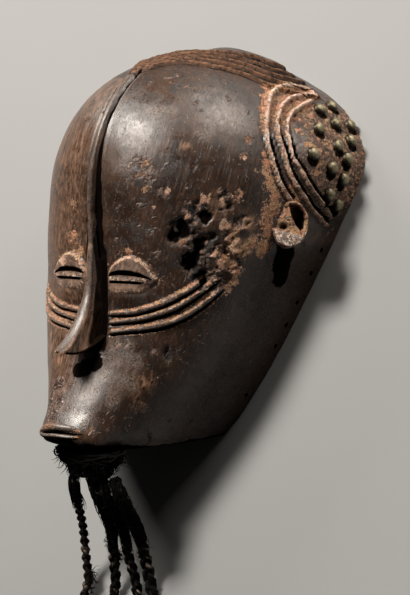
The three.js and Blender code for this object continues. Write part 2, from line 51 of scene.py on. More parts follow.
MIDDLE_Y = -14.65  # the carving's y that lies at y = 0 in the frame
RIBS = np.array([
    [-161, 84, -120, 50, 2.2, 0.36],
    [-157, 101, -107, 58, 2.2, 0.34],
    [-138, 102.5, -88, 65.5, 2.3, 0.24],
    [-111, 100.5, -62, 74.5, 2.45, 0.08],
    [-84, 103.5, -33.5, 82, 2.5, 0],
    [-54, 113, 1, 90, 2.45, 0],
    [-20, 127, 36.5, 97, 2.35, 0],
    [16, 141, 70, 99, 2.2, 0],
    [52, 142, 98, 88, 2.15, 0],
    [88, 123, 119, 67, 2.1, 0],
    [118, 84, 132, 41, 2, 0],
    [136, 42, 139, 20, 2, 0],
    [142, 0, 142, 0, 2, 0],
])  # keel y, keel z, rim y, half width at the rim, fullness of the arch, pinch towards the keel
CROWN = len(RIBS) - 1
WALL = 8

PAD = {"height": 3.6, "flat": 1.2, "station": 7.35, "spread": 0.62, "lean": (0.66, 0.8),
       "fades": (5.9, 6.5, 8.6, 9.1)}
CREST = {"height": 3, "fades": (10.3, 10.9, 11.5, 11.95), "lean": (0.7, 0.92)}

# The keel wanders a little towards the far side on its way up the brow: station and lean.
KEEL_LINE = [[5.35, -0.019], [5.7, -0.028], [6, -0.034], [6.5, -0.041], [7, -0.039], [7.5, -0.036],
             [8, -0.04], [8.5, -0.055], [8.9, -0.07], [9.15, -0.078]]
KEEL = {"half_width": 2.4, "height": 1.9, "near_groove": (6.4, 1.5), "far_groove": (1.3, 1),
        "depth": (2.7, 1.3)}
# Along the crest of the nose, down to the tip.
NOSE_RIDGE = [[-4.9, -24, 125.6], [-2.8, -44, 121.3], [-1.2, -62, 117.2], [-0.4, -73, 117.3],
              [0, -84, 118.6], [0, -94, 121.4], [0, -103, 125.9], [0, -107.4, 129]]
NOSE = {"root": 3.6, "wing": 12.5, "crest": (2.4, 5), "depth": 8, "bend": (0.62, 0.36),
        "shoulder": (1.2, 4.2), "slant": 19, "stand": 27}
FAR_EYE = {"shift": 3, "tilt": 0.12}  # the far eye is nearer to the middle and its outer end hangs lower

# Outlines of the near eye in x and y.
UPPER_LID = [[10.4, -50.8], [12.6, -45.4], [16.3, -41.2], [21.4, -38.2], [27.2, -36.2], [33, -37],
             [37.8, -39.4], [40.9, -42.2], [44.1, -46.3]]
LOWER_LID = [[41.1, -51.1], [35.4, -56.2], [28.3, -58], [14.4, -59.7], [10.7, -53.3]]
SLIT_TOP = [[12, -50.4], [14, -48.6], [19, -46.9], [27.5, -46], [34, -45.9], [39, -46.9], [41.5, -47.6]]
SLIT_FOOT = [[12, -51], [14, -50.8], [19, -49.8], [27.5, -48.9], [34, -48.4], [39, -48.3], [41.5, -48.1]]
LID_GROOVE_TOP = [[13.4, -53.9], [16, -53.5], [27.8, -52.1], [34, -51.3], [37.6, -50.9]]
LID_GROOVE_FOOT = [[13.4, -54.4], [16, -55], [27.8, -53.7], [34, -52.7], [37.6, -51.2]]
LID_GROOVE_DEPTH = 3.6
SLIT_FLOOR = 60  # the slits are cut through the wood, down to this z
OVER_FACE = 145  # a z above the eyes, where their cutters end
EYE_BAG = {"middle": (26, -60), "half": (21, 11), "height": 2.2}

SCARS = [
    [[4.35, 0.085], [4.4, 0.169], [4.45, 0.237], [4.62, 0.341], [4.88, 0.431], [5.17, 0.508]],
    [[4.16, 0.1], [4.23, 0.179], [4.33, 0.28], [4.52, 0.39], [4.78, 0.465], [5.13, 0.546]],
    [[3.94, 0.11], [4.03, 0.2], [4.14, 0.323], [4.3, 0.421], [4.6, 0.504], [4.95, 0.566]],
]
SCAR_HEIGHT = {"near": 2.0, "far": 1.1}
SCAR_GROOVE = [1.3, 1.4, 1.9]  # depth of the groove below each scar

# Lean and station along the hairline, which dips where the keel meets it.
HAIRLINE = [[-0.93, 9], [-0.78, 9], [-0.65, 9.07], [-0.5, 9.32], [-0.33, 9.4], [-0.24, 9.3], [-0.15, 9.08],
            [-0.078, 8.87], [-0.02, 9.04], [0.05, 9.24], [0.14, 9.37], [0.32, 9.4], [0.5, 9.32],
            [0.65, 9.07], [0.78, 9], [0.93, 9]]
BAND = {"start": 0.05, "least": 0.47, "fan": 1.0, "height": 2.3, "groove": 0.2}
BAND_OFFSETS = [0, 0.23, 0.48, 0.8, 1.22]
BAND_ENDS = [0.93, 0.93, 0.92, 0.9, 0.86]
FAR_FROM_RIBS = 6.0  # the mark "rib" where no band is near
LOOP = {"height": 2.6, "groove": 0.9, "wider": (1.6, 1.2, 1.2), "filled": (7.6, 8.15)}
LOOPS = [
    [[9.03, 0.895], [9.32, 0.845], [9.2, 0.718], [8.86, 0.657], [8.49, 0.637], [7.9, 0.627], [7.31, 0.647],
     [6.8, 0.685], [6.42, 0.742]],
    [[8.98, 0.895], [9.08, 0.855], [8.89, 0.762], [8.6, 0.7], [8.21, 0.67], [7.92, 0.667], [7.48, 0.685],
     [6.96, 0.715], [6.42, 0.798], [6.17, 0.86], [5.87, 0.938]],
    [[8.9, 0.85], [8.53, 0.762], [8.34, 0.725], [8.03, 0.7], [7.39, 0.712], [7.08, 0.742], [6.77, 0.784],
     [6.36, 0.868], [6.04, 0.945]],
]
TACK = {"radius": 4.7, "height": 4, "sunk": 0.35}
TACKS = [[8.56, 0.853], [8.76, 0.93], [7.99, 0.818], [8.19, 0.903], [8.19, 0.973], [7.39, 0.78],
         [7.59, 0.88], [7.74, 0.945], [7.12, 0.855], [7.31, 0.917], [6.9, 0.913], [6.6, 0.873], [6.37, 0.93]]

# The face's grid: places, and the number of steps between each two. Between the dense stations its rows are
# doubled from the dense lean out to the rims.
DENSE = {"lean": 0.6, "stations": (5.7, 9.3)}
GRID = {"stations": [0, 1.9, 3.75, 5.7, 6.6, 9, 10, 11, CROWN],
        "station_steps": [28, 20, 94, 34, 54, 42, 24, 8],
        "near": [0, 0.1, 0.33, DENSE["lean"], 0.86, 1], "near_steps": [13, 24, 42, 42, 11],
        "far": [0, 0.1, DENSE["lean"], 0.86, 1], "far_steps": [12, 34, 34, 9]}

EAR = {"place": (6.03, 0.748), "turn": 0.42, "half": (12, 15.5), "sunk": 8, "hole": ((-0.3, -0.17), 1.7),
       "hollow": [[-0.22, 0.8], [0.2, 0.84], [0.6, 0.66], [0.82, 0.32], [0.82, 0], [0.66, -0.2], [0.34, 0],
                  [0.12, 0.2], [-0.1, 0.5]]}
# The mouth line runs from corner to corner. Its share goes from -1 at the far corner to 1 at the near one.
MOUTH = {"x": -1.5, "half_width": 20, "y": -154.1, "slope": 1.4, "sag": 1.6, "z": 98, "bow": 8.1}
LIPS = [{"rise": 3.4, "radius": 2.3, "forward": 0}, {"rise": -2.5, "radius": 1.7, "forward": -1.2}]
MOUTH_SLIT = {"share": 0.9, "half_height": 0.65, "depth": 3.2}
FLARE = {"middle": 3.2, "corner": 6.5, "half_width": 18.5, "y": -155.8, "reach": 11.5, "z": (101.7, 90)}
RIM_HOLES = {"radius": 1.8, "stations": [5.44, 4.97, 4.37, 3.87, 3.34, 1.98], "lean": 0.952}

# Wear, as station, lean and radius. A pit has a depth too, and one wider than SMALL_PIT is black inside.
SMALL_PIT = 5
PITS = [[6.02, 0.373, 7.5, 3], [5.43, 0.42, 8.5, 2.8], [5.15, 0.475, 5.5, 2], [6.22, 0.45, 5.4, 2.2],
        [5.73, 0.445, 6, 2.2], [5.86, 0.345, 5.2, 2], [7.05, 0.19, 3, 1.6], [6.93, 0.205, 2.4, 1.3],
        [6.8, 0.23, 2.2, 1.1], [7.13, 0.175, 1.8, 1], [6.61, 0.28, 1.8, 0.9], [3.45, 0.44, 4.2, 1.8],
        [3.6, 0.42, 3.2, 1.5], [2.95, 0.46, 1.5, 0.8], [8.71, 0.097, 1.6, 0.9], [3.5, 0.13, 2, 0.8],
        [6.97, 0.232, 1.8, 0.8], [6.87, 0.195, 1.7, 0.9], [7.03, 0.147, 1.5, 0.7], [6.78, 0.155, 1.6, 0.7],
        [6.63, 0.22, 1.4, 0.6], [6.56, 0.3, 1.9, 0.8], [7.06, 0.603, 1.5, 0.7], [7.34, 0.55, 1.8, 0.8],
        [6.6, 0.548, 2.2, 0.9], [6.42, 0.593, 1.6, 0.7], [7.65, 0.565, 1.9, 0.8], [2.13, 0.68, 1, 0.6],
        [3.18, 0.535, 1, 0.5], [1.59, 0.718, 1, 0.5], [5.38, 0.93, 1.6, 0.6]]
# The crumbling patch of the temple
EROSION = [[6.3, 0.42, 10], [6.45, 0.51, 7], [5.9, 0.36, 9], [5.75, 0.46, 14], [5.8, 0.55, 11],
           [5.4, 0.45, 13], [5.45, 0.56, 12], [5.1, 0.5, 10], [5.1, 0.56, 8], [4.95, 0.57, 6],
           [6.1, 0.57, 8], [6.6, 0.5, 5]]
# Pale pieces of old surface left standing in the patch and above it
FRAGMENTS = [[6.21, 0.385, 4], [6.5, 0.44, 6], [6.46, 0.498, 6], [6.06, 0.515, 7], [5.81, 0.54, 5],
             [5.66, 0.573, 8], [6.02, 0.583, 6], [6.12, 0.59, 5], [5.34, 0.528, 7], [5.56, 0.505, 5],
             [6.65, 0.308, 4], [6.36, 0.26, 3], [5.25, 0.58, 5]]
# Crust in the patch, in front of the loops, between them and the ear, over the eyes and on the brow
CRUST = [[5.7, 0.56, 11], [5.45, 0.545, 9], [5.95, 0.55, 9], [5.2, 0.6, 7], [5.35, 0.57, 8], [5.05, 0.6, 5],
         [5.6, 0.6, 8], [5.75, 0.63, 7], [4.9, 0.58, 6], [9.05, 0.63, 6], [8.75, 0.62, 5], [8.4, 0.61, 4],
         [7.4, 0.62, 4], [7.17, 0.633, 6], [7.01, 0.637, 7], [6.86, 0.65, 8], [6.71, 0.66, 9],
         [6.58, 0.68, 10], [6.43, 0.69, 10], [6.36, 0.667, 10], [6.22, 0.663, 10], [6.05, 0.663, 10],
         [5.88, 0.667, 10], [5.72, 0.673, 9], [5.57, 0.673, 7], [6.7, 0.72, 7], [6.5, 0.75, 8],
         [8.64, 0.792, 6], [8.3, 0.8, 5], [8.2, 0.755, 5], [7.9, 0.74, 6], [7.58, 0.77, 6], [7.45, 0.8, 6],
         [7.2, 0.8, 4], [7, 0.8, 5], [5.6, 0.165, 5], [5.5, -0.1, 8], [5.75, -0.15, 7], [5.3, -0.2, 6],
         [6.3, -0.14, 5], [6.87, 0.195, 4], [6.63, 0.22, 4], [7.06, 0.6, 4], [7.34, 0.55, 4],
         [6.6, 0.548, 6], [7.65, 0.565, 4], [7.1, 0.22, 4]]
# Painted black shadow below the ear and under the nose tip
PAINTED_SHADOWS = [[5.6, 0.765, 11], [5.42, 0.77, 11], [5.22, 0.78, 11], [5.02, 0.79, 9], [3.05, 0.02, 8],
         [2.97, -0.02, 7], [3.2, 0.085, 7]]
# Sooty wood beside the eye and the patch and on the brow, and painted shadow below and behind the ear
SOOT_AND_SHADOW = [[5.75, 0.33, 15], [5.35, 0.36, 14], [5.95, 0.4, 12], [5.3, 0.44, 14], [5.55, 0.77, 9],
        [5.35, 0.78, 9], [6.75, 0.2, 10], [6.6, 0.13, 9], [5.35, 0.82, 14], [5.05, 0.85, 14],
        [5.6, 0.84, 11]]
# Nicks of the blade on the far side above the mouth
NICKS = [[1.4, -0.26, 9], [1.7, -0.16, 8], [2, -0.26, 9], [2.15, -0.13, 8], [2.5, -0.18, 8]]
# Redder, worn-through wood round the patch and on the cheeks
RED = [[5.7, 0.62, 12], [6.1, 0.6, 10], [6.4, 0.5, 12], [7.4, 0.35, 6], [2.7, 0.42, 9], [2.2, 0.45, 9],
       [4, -0.25, 14], [3.2, -0.2, 14], [2.4, -0.16, 10], [1.2, 0.25, 6], [1.2, -0.25, 6], [3.4, -0.35, 14]]
# Grey wood: painted highlights on the forehead, beside the nose and on the muzzle, on wood where hands and
# wear have dulled the patina
HIGHLIGHTS_AND_DULLED = [[3.25, 0.3, 11], [2.8, 0.3, 11], [2.3, 0.3, 9], [3.72, 0.16, 8], [3.68, 0.24, 8], [3.3, 0.2, 9],
        [2.4, 0.13, 13], [3, 0.16, 9], [1.8, 0.14, 10], [3.6, 0.16, 6], [7.6, 0.16, 16], [8.1, 0.22, 14],
        [8.1, 0.45, 12], [7.7, 0.42, 9], [7, 0.12, 10], [2, -0.1, 9]]
# The marks of the wood's points, which its material reads. The pale mark paints highlights as well as paler
# wood and crust; the dark mark paints shade and shadow as well as soot and dark wood.
MARKS = ("crust", "dark", "pale", "eroded", "red", "nicked", "inside", "rib")

# The beard. A tuft stands off a plait: share of its length, side, size and number of fibres.
TIE = {"middle": (7, -159.1, 78), "half_width": 25, "half_depth": 12, "drop": 14, "skin": 1.5,
       "curl": (-19.6, -163.4, 78), "curl_radius": 2.6, "curl_turn": (1.2, -3.6),
       "curl_start": (-15, -160, 79)}
PLAITS = [
    {"name": "plait_1", "width": 6.6, "dust": 0.7, "tufts": [(0.5, -1, 9, 60), (0.54, -1, 7, 30)], "route": [
        [-7, -172.9, 71.1], [-7.5, -183, 65.5], [-16, -200, 38], [-20.5, -217, 20], [-21.5, -236, 7.5],
        [-25.5, -252, 3.8], [-33, -272, 3.6], [-36, -294, 3.6], [-30, -314, 3.8]]},
    {"name": "plait_2", "width": 7.4, "dust": 0.25, "tufts": [(0.34, 1, 6, 20), (0.4, -1, 7, 34)], "route": [
        [7.5, -172.9, 71.1], [11.5, -183, 65.5], [8, -200, 37], [4.3, -217, 20], [2.6, -234, 8],
        [1, -250, 4.2], [-3, -270, 4], [-2, -292, 4], [6, -312, 4]]},
    {"name": "plait_3", "width": 7.4, "dust": 0, "tufts": [(0.3, -1, 5, 12)], "route": [
        [16.5, -172.9, 71.1], [20.5, -183, 65.5], [17, -199, 36], [16.5, -214, 21], [19.5, -230, 8.5],
        [23, -246, 4.2], [24, -266, 4], [29, -286, 4], [40, -303, 4]]},
    {"name": "plait_4", "width": 8.6, "dust": 0, "tufts": [(0.42, 1, 5, 16), (0.2, 1, 4, 12)], "route": [
        [27, -172.9, 71.1], [32, -183, 65.5], [29.5, -194, 41], [28.3, -208, 22.5], [29, -223, 10],
        [36, -240, 5], [45, -256, 4.7], [58, -271, 4.7], [74, -281, 4.9]]},
]
TWIST = 3.0  # widths of a plait in which a strand comes back to the same side
YARNS = 6  # in each strand
ON_FLOOR = 0.5  # the least height of a fibre's middle


# Small helpers


def metres(points):
    """Points of the carving's frame in millimetres, as points of the part's frame in metres."""
    return (np.asarray(points, float) - [0, MIDDLE_Y, 0]) / 1000


def mix(a, b, t):
    return a + (b - a) * t


def smooth(low, high, value):
    """0 up to low, 1 from high on, and a smooth step between them."""
    t = np.clip((value - low) / (high - low), 0, 1)
    return t * t * (3 - 2 * t)


def window(a, b, c, d, value):
    """1 from b to c, and down to 0 at a and d."""
    return smooth(a, b, value) * (1 - smooth(c, d, value))


def bell(value, width):
    return np.exp(-((value / width) ** 2))


def unit(v):
    return v / np.maximum(np.linalg.norm(v, axis=-1, keepdims=True), 1e-9)


def around(angle, u, v):
    """The direction at an angle from u towards v, or a row of them where there are many angles."""
    return np.multiply.outer(np.cos(angle), u) + np.multiply.outer(np.sin(angle), v)


def catmull(rows, position):
    """A smooth curve through rows, at positions that count the rows."""
    rows = np.asarray(rows, float)
    rows = np.vstack([2 * rows[0] - rows[1], rows, 2 * rows[-1] - rows[-2]])
    last = len(rows) - 3
    position = np.clip(np.asarray(position, float), 0, last)
    first = np.minimum(np.floor(position).astype(int), last - 1)
    t = (position - first)[..., None]
    a, b, c, d = (rows[first + k] for k in range(4))
    return b + 0.5 * ((c - a) * t + (2 * a - 5 * b + 4 * c - d) * t**2 + (3 * b - a - 3 * c + d) * t**3)


def along(rows, count):
    """count points on a smooth curve through rows."""
    return catmull(rows, np.linspace(0, len(rows) - 1, count))


def rough(points, size, seed=0.0, octaves=2):
    """Smooth noise from about -1 to 1 at points, with features of that size."""
    shift = Vector((seed * 17.3, seed * 5.7, seed * 29.1))
    places = np.reshape(points, (-1, 3)).tolist()
    out = [noise.fractal(Vector(p) / size + shift, 0.6, 2.0, octaves) for p in places]
    return np.reshape(out, np.shape(points)[:-1])


def mesh_object(name, points, faces, attributes):
    mesh = bpy.data.meshes.new(name)
    mesh.from_pydata(np.asarray(points, float).tolist(), [], faces)
    mesh.validate()
    for key, values in attributes.items():
        mesh.attributes.new(key, "FLOAT", "POINT").data.foreach_set("value", np.asarray(values, np.float32))
    mesh.polygons.foreach_set("use_smooth", [True] * len(mesh.polygons))
    made = bpy.data.objects.new(name, mesh)
    bpy.context.scene.collection.objects.link(made)
    return made


def grid_faces(rows, columns, start=0, closed=False):
    faces = []
    for i in range(rows - 1):
        for j in range(columns if closed else columns - 1):
            a, b = start + i * columns + j, start + i * columns + (j + 1) % columns
            faces.append((a, b, b + columns, a + columns))
    return faces


def lofted(rings):
    """Points and outward faces of a closed skin over rings of as many points each, with flat ends."""
    rings = np.asarray(rings, float)
    rows, columns = rings.shape[:2]
    points = np.vstack([rings.reshape(-1, 3), rings[0].mean(0), rings[-1].mean(0)])
    faces = grid_faces(rows, columns, closed=True)
    first, last = rows * columns, rows * columns + 1
    faces += [(first, (j + 1) % columns, j) for j in range(columns)]
    top = (rows - 1) * columns
    faces += [(last, top + j, top + (j + 1) % columns) for j in range(columns)]
    corners = [(f[0], f[k], f[k + 1]) for f in faces for k in range(1, len(f) - 1)]
    volume = sum(np.dot(points[a], np.cross(points[b], points[c])) for a, b, c in corners)
    return points, faces if volume > 0 else [f[::-1] for f in faces]


# The face as a surface


def bare_skin(station, lean):
    """The face without relief: an arch from rim to rim at each station, which the pinch draws in."""
    station, lean = np.broadcast_arrays(np.asarray(station, float), np.asarray(lean, float))
    keel_y, keel_z, rim_y, half_width, fullness, pinch = np.moveaxis(catmull(RIBS, station), -1, 0)
    across, up = np.abs(np.sin(lean * math.pi / 2)), np.abs(np.cos(lean * math.pi / 2))
    reach = (across**fullness + up**fullness) ** (-1 / fullness)
    rise = reach * up
    x = np.sign(lean) * np.abs(half_width) * reach * across * (1 - pinch * rise**1.5)
    return np.stack([x, mix(rim_y, keel_y, rise), keel_z * rise], -1)


def skin_normal(station, lean):
    step = 0.004
    station, lean = np.clip(station, 0.01, CROWN - 0.05), np.clip(lean, -0.995, 0.995)
    upwards = bare_skin(station + step, lean) - bare_skin(station - step, lean)
    across = bare_skin(station, lean + step) - bare_skin(station, lean - step)
    return unit(np.cross(across, upwards))


def bulge(station, lean):
    """How far the pads of the tacks and the crest of the head swell out."""
    side = np.abs(lean)
    pad = PAD["height"] * bell(station - PAD["station"], PAD["spread"])
    pad = smooth(*PAD["lean"], side) * (pad + PAD["flat"] * window(*PAD["fades"], station))
    return pad + CREST["height"] * window(*CREST["fades"], station) * (1 - smooth(*CREST["lean"], side))


def flare(points):
    """How far the face swells out round the mouth."""
    x = np.clip(points[:, 0], -FLARE["half_width"], FLARE["half_width"])
    share = (x / FLARE["half_width"]) ** 2
    line = np.stack([x, np.full(len(x), FLARE["y"]), mix(*FLARE["z"], share)], 1)
    distance = np.linalg.norm(points - line, axis=1)
    return mix(FLARE["middle"], FLARE["corner"], share) * np.exp(-((distance / FLARE["reach"]) ** 1.6))


def skin(station, lean, proud=0.0):
    """Points on the face, or that far proud of it."""
    station, lean = np.asarray(station, float), np.asarray(lean, float)
    return bare_skin(station, lean) + skin_normal(station, lean) * (bulge(station, lean) + proud)[..., None]


def mirrored(places, drop=0.0):
    """The same line on the far side, where lines start a little nearer to the middle and may rise less."""
    return [[station - drop * lean**2, -lean + 0.035 * max(0, 1 - lean / 0.3)] for station, lean in places]


def eye_place(x, y, side):
    """Where a point of the near eye lies on the eye of that side."""
    return (x, y) if side > 0 else (FAR_EYE["shift"] - x, y - FAR_EYE["tilt"] * (x - 12))


def beside(points, normals, line, reach):
    """For points near a line on the face: their indices, signed distance from it and share of its length.
    The distance is positive to the right of the line's heading, seen from outside."""
    low, high = line.min(0) - reach, line.max(0) + reach
    near = np.nonzero(((points > low) & (points < high)).all(-1))[0]
    heading = unit(np.gradient(line, axis=0))
    tree = KDTree(len(line))
    for i, p in enumerate(line):
        tree.insert(p, i)
    tree.balance()
    found = np.array([tree.find(p)[1] for p in points[near].tolist()], int)
    gap = points[near] - line[found]
    gap -= (gap * normals[near]).sum(-1, keepdims=True) * normals[near]
    gap -= (gap * heading[found]).sum(-1, keepdims=True) * heading[found] * 0.999
    right = np.cross(heading[found], normals[near])
    distance = np.linalg.norm(gap, axis=-1) * np.sign((gap * right).sum(-1))
    past = np.abs(((points[near] - line[found]) * heading[found]).sum(-1))
    keep = (np.abs(distance) < reach) & (past < 1.5)
    return near[keep], distance[keep], found[keep] / (len(line) - 1)


def blots(points, marks, feather=0.5, wild=0.45):
    """How strongly marks of station, lean and radius cover the points, from 0 to 1."""
    cover = np.zeros(len(points))
    ragged = wild * rough(points, 7, 61, 3)
    for station, lean, radius in marks:
        gap = np.linalg.norm(points - skin(station, lean), axis=-1) / radius
        cover = np.maximum(cover, 1 - smooth(feather, 1.0, gap + ragged))
    return cover


def in_outline(points, outline):
    """Signed distance in x and y from a closed outline, positive inside it."""
    outline = np.asarray(outline, float)
    a, b = outline, np.roll(outline, -1, 0)
    p = points[:, None, :2]
    t = np.clip(((p - a) * (b - a)).sum(-1) / ((b - a) ** 2).sum(-1), 0, 1)[..., None]
    distance = np.linalg.norm(p - (a + (b - a) * t), axis=-1).min(1)
    crosses = (a[:, 1] > p[..., 1]) != (b[:, 1] > p[..., 1])
    rise = np.where(b[:, 1] == a[:, 1], 1, b[:, 1] - a[:, 1])
    at = a[:, 0] + (p[..., 1] - a[:, 1]) / rise * (b[:, 0] - a[:, 0])
    inside = (crosses & (p[..., 0] < at)).sum(1) % 2 == 1
    return np.where(inside, distance, -distance)


# Carving of the outer face: how far each point stands proud, and the marks on it of colour, painted shade
# and painted highlight


class Face:
    """Points of the outer face, the height of the relief at each, and the marks that the materials read."""

    def __init__(self, station, lean):
        self.station, self.lean = station.ravel(), lean.ravel()
        self.bare = bare_skin(station, lean).reshape(-1, 3)
        self.normals = skin_normal(station, lean).reshape(-1, 3)
        self.swell = bulge(station, lean).ravel() + flare(self.bare)
        self.points = self.bare + self.normals * self.swell[:, None]
        self.height = 0.3 * rough(self.points, 34, 1) + 0.12 * rough(self.points, 9, 2)
        for key in MARKS:
            setattr(self, key, np.zeros(len(self.points)))
        self.rib += FAR_FROM_RIBS
        self.far_side = smooth(0, 0.15, -self.lean)

    def beside(self, line, reach):
        return beside(self.points, self.normals, line, reach)


def lift(mark, near, level):
    """Makes a mark at least that strong at the points near something."""
    mark[near] = np.maximum(mark[near], level)


def ends(t, share):
    """1 along a line, fading to 0 over that share of it at each end."""
    return smooth(0, share, t) * smooth(0, share, 1 - t)


def face_line(places, count=260):
    return skin(*along(places, count).T)


def band_line(offset, end):
    lean, hairline = along(HAIRLINE, 420).T
    kept = np.abs(lean) < end
    lean, hairline = lean[kept], hairline[kept]
    return skin(hairline + BAND["start"] + offset * (BAND["least"] + BAND["fan"] * np.abs(lean)), lean)


def carve_keel(face):
    """The keel, with a groove on each side of it that is wide and deep beside the nose and narrow above."""
    near, offset, t = face.beside(face_line(KEEL_LINE), 10)
    fade = smooth(0, 0.03, t) * smooth(0, 0.1, 1 - t)
    side = np.abs(offset)
    share = smooth(0.3, 0.6, t)
    strip = KEEL["height"] * (1 - smooth(1.2, KEEL["half_width"] + 0.4, side))
    low, high = np.where(offset > 0, *np.reshape([KEEL["near_groove"], KEEL["far_groove"]], (2, 2, 1)))
    start = KEEL["half_width"] + 0.1
    past = start + mix(low, high, share)
    groove = smooth(start, start + 0.7, side) * (1 - smooth(past, past + 1, side))
    edge = bell(side - past - 1.6, 0.8) * share
    face.height[near] += fade * (strip - mix(*KEEL["depth"], share) * groove + 0.45 * edge)
    # Painted shade in the grooves, darker on the near side, and painted highlights on the strip and on the
    # edge past the near groove
    lift(face.dark, near, fade * groove * np.where(offset > 0, 1, 0.6))
    lift(face.pale, near, fade * np.maximum(0.75 * edge, 0.6 * (1 - smooth(1, 2, side))))


def carve_furrow(face):
    """A shallow furrow along the near foot of the nose, painted black as the nose's shadow."""
    x, y, z = face.points.T
    down = np.clip((NOSE_RIDGE[0][1] - y) / (NOSE_RIDGE[0][1] - NOSE_RIDGE[-1][1]), 0, 1)
    gap = x - mix(NOSE["root"], NOSE["wing"], down**0.8)
    furrow_shadow = (1 - smooth(2, 3.6, gap)) * smooth(0, 1, x) * (z > 60)
    furrow_shadow *= smooth(-30, -38, y) * smooth(-104, -92, y)
    face.height -= 1.4 * furrow_shadow * smooth(-1, 1, gap)
    lift(face.dark, slice(None), furrow_shadow)


def carve_scars(face):
    """Scars on the cheeks, each with a groove below it."""
    for depth, scar in zip(SCAR_GROOVE, SCARS):
        far_scar = mirrored(scar, 1)[:5]
        for sign, tall, places in ((1, SCAR_HEIGHT["near"], scar), (-1, SCAR_HEIGHT["far"], far_scar)):
            near, offset, t = face.beside(face_line(places), 5.5)
            wide = mix(0.72, 1.05, smooth(0, 0.5, t))
            v = (offset * sign + 0.22 * rough(face.points[near], 6, 3)) / wide
            ridge, groove = window(-2.9, -1, 0.8, 1.5, v), window(1.2, 1.8, 2.5, 3.4, v)
            flank, lower = window(-3.6, -2.6, -1.4, -0.2, v), window(2.9, 3.4, 3.9, 4.8, v)
            fade = ends(t, 0.07)
            nick = smooth(0.3, 0.55, rough(face.points[near], 4, 4))
            face.height[near] += fade * (tall * ridge * (1 - 0.25 * nick) - depth * groove)
            # Painted shade in the groove and a painted highlight along the crest; the crust is the wood's
            # own
            lift(face.dark, near, fade * groove)
            lift(face.crust, near, fade * (0.75 * flank + 0.65 * lower + 0.08 * ridge))
            lift(face.pale, near, fade * bell(v + 0.3, 0.9))


def carve_bands(face):
    """Bands of hair over the crown. Each point keeps how far it is from the nearest, as the mark rib."""
    for k, (offset, end) in enumerate(zip(BAND_OFFSETS, BAND_ENDS)):
        near, offset, t = face.beside(band_line(offset, end), 4.6)
        points, seed, fade = face.points[near], 10 + k, ends(t, 0.03)
        d = np.abs(offset + 0.35 * rough(points, 7, seed))
        band = BAND["height"] * (1 - smooth(0.6, 2, d)) * (1 + 0.22 * rough(points, 9, seed, 3))
        lift(face.height, near, fade * band)
        face.height[near] -= fade * BAND["groove"] * window(1.3, 2.1, 2.5, 3.6, d)
        # On the far side a crest counts as farther from its band, which dims the painted highlight that the
        # material puts on crests
        away = np.where(d > 1.1, d, d + 0.5 * face.far_side[near])
        face.rib[near] = np.minimum(face.rib[near], away + FAR_FROM_RIBS * (1 - fade))


def carve_loops(face):
    """Loops of hair behind the temples. Above LOOP["filled"] crust is packed between them."""
    for k, loop in enumerate(LOOPS):
        for places in (loop, mirrored(loop)):
            near, offset, t = face.beside(face_line(places, 420), 5.2)
            points, seed, fade = face.points[near], 20 + k, ends(t, 0.03)
            filled = smooth(*LOOP["filled"], face.station[near])
            wider = mix(1, LOOP["wider"][k], filled)
            d = np.abs(offset + 0.35 * rough(points, 7, seed)) / wider
            chipped = smooth(0.2, 0.6, rough(points, 4, seed + 1, 3))
            uneven = 1 + 0.22 * rough(points, 9, seed, 3) - 0.25 * chipped
            lift(face.height, near, fade * LOOP["height"] * bell(d, 1.25) * uneven)
            face.height[near] -= fade * LOOP["groove"] * window(1.3, 2.1, 2.5, 3.6, d) * mix(1, 0.4, filled)
            # The channel on the side of the tacks is wide and open below, narrow and partly filled above. It
            # holds a painted shadow, which crust breaks above.
            inward = -offset * np.sign(face.lean[near])
            wide = mix(4.6, 3.0, filled) + 0.5 * rough(points, 5, seed + 2)
            channel = smooth(1.2, 2, inward / wider) * (1 - smooth(wide - 0.5, wide, inward))
            face.height[near] -= fade * 0.5 * channel
            clots = mix(1, smooth(-0.35, 0.3, rough(points, 8, seed + 3, 2)), filled)
            lift(face.dark, near, fade * channel * mix(0.95, 0.9, filled) * clots)
            bare_crest = 0.9 * (1 - smooth(0.7, 1.6, d))
            below = np.maximum(bare_crest, 0.5 * window(0.4, 1.2, 1.8, 3, -inward))
            lift(face.crust, near, fade * mix(below, np.maximum(0.72, bare_crest), filled))
            # A painted highlight along each crest
            lift(face.pale, near, fade * 0.9 * (1 - smooth(0.5, 1.4, d)))


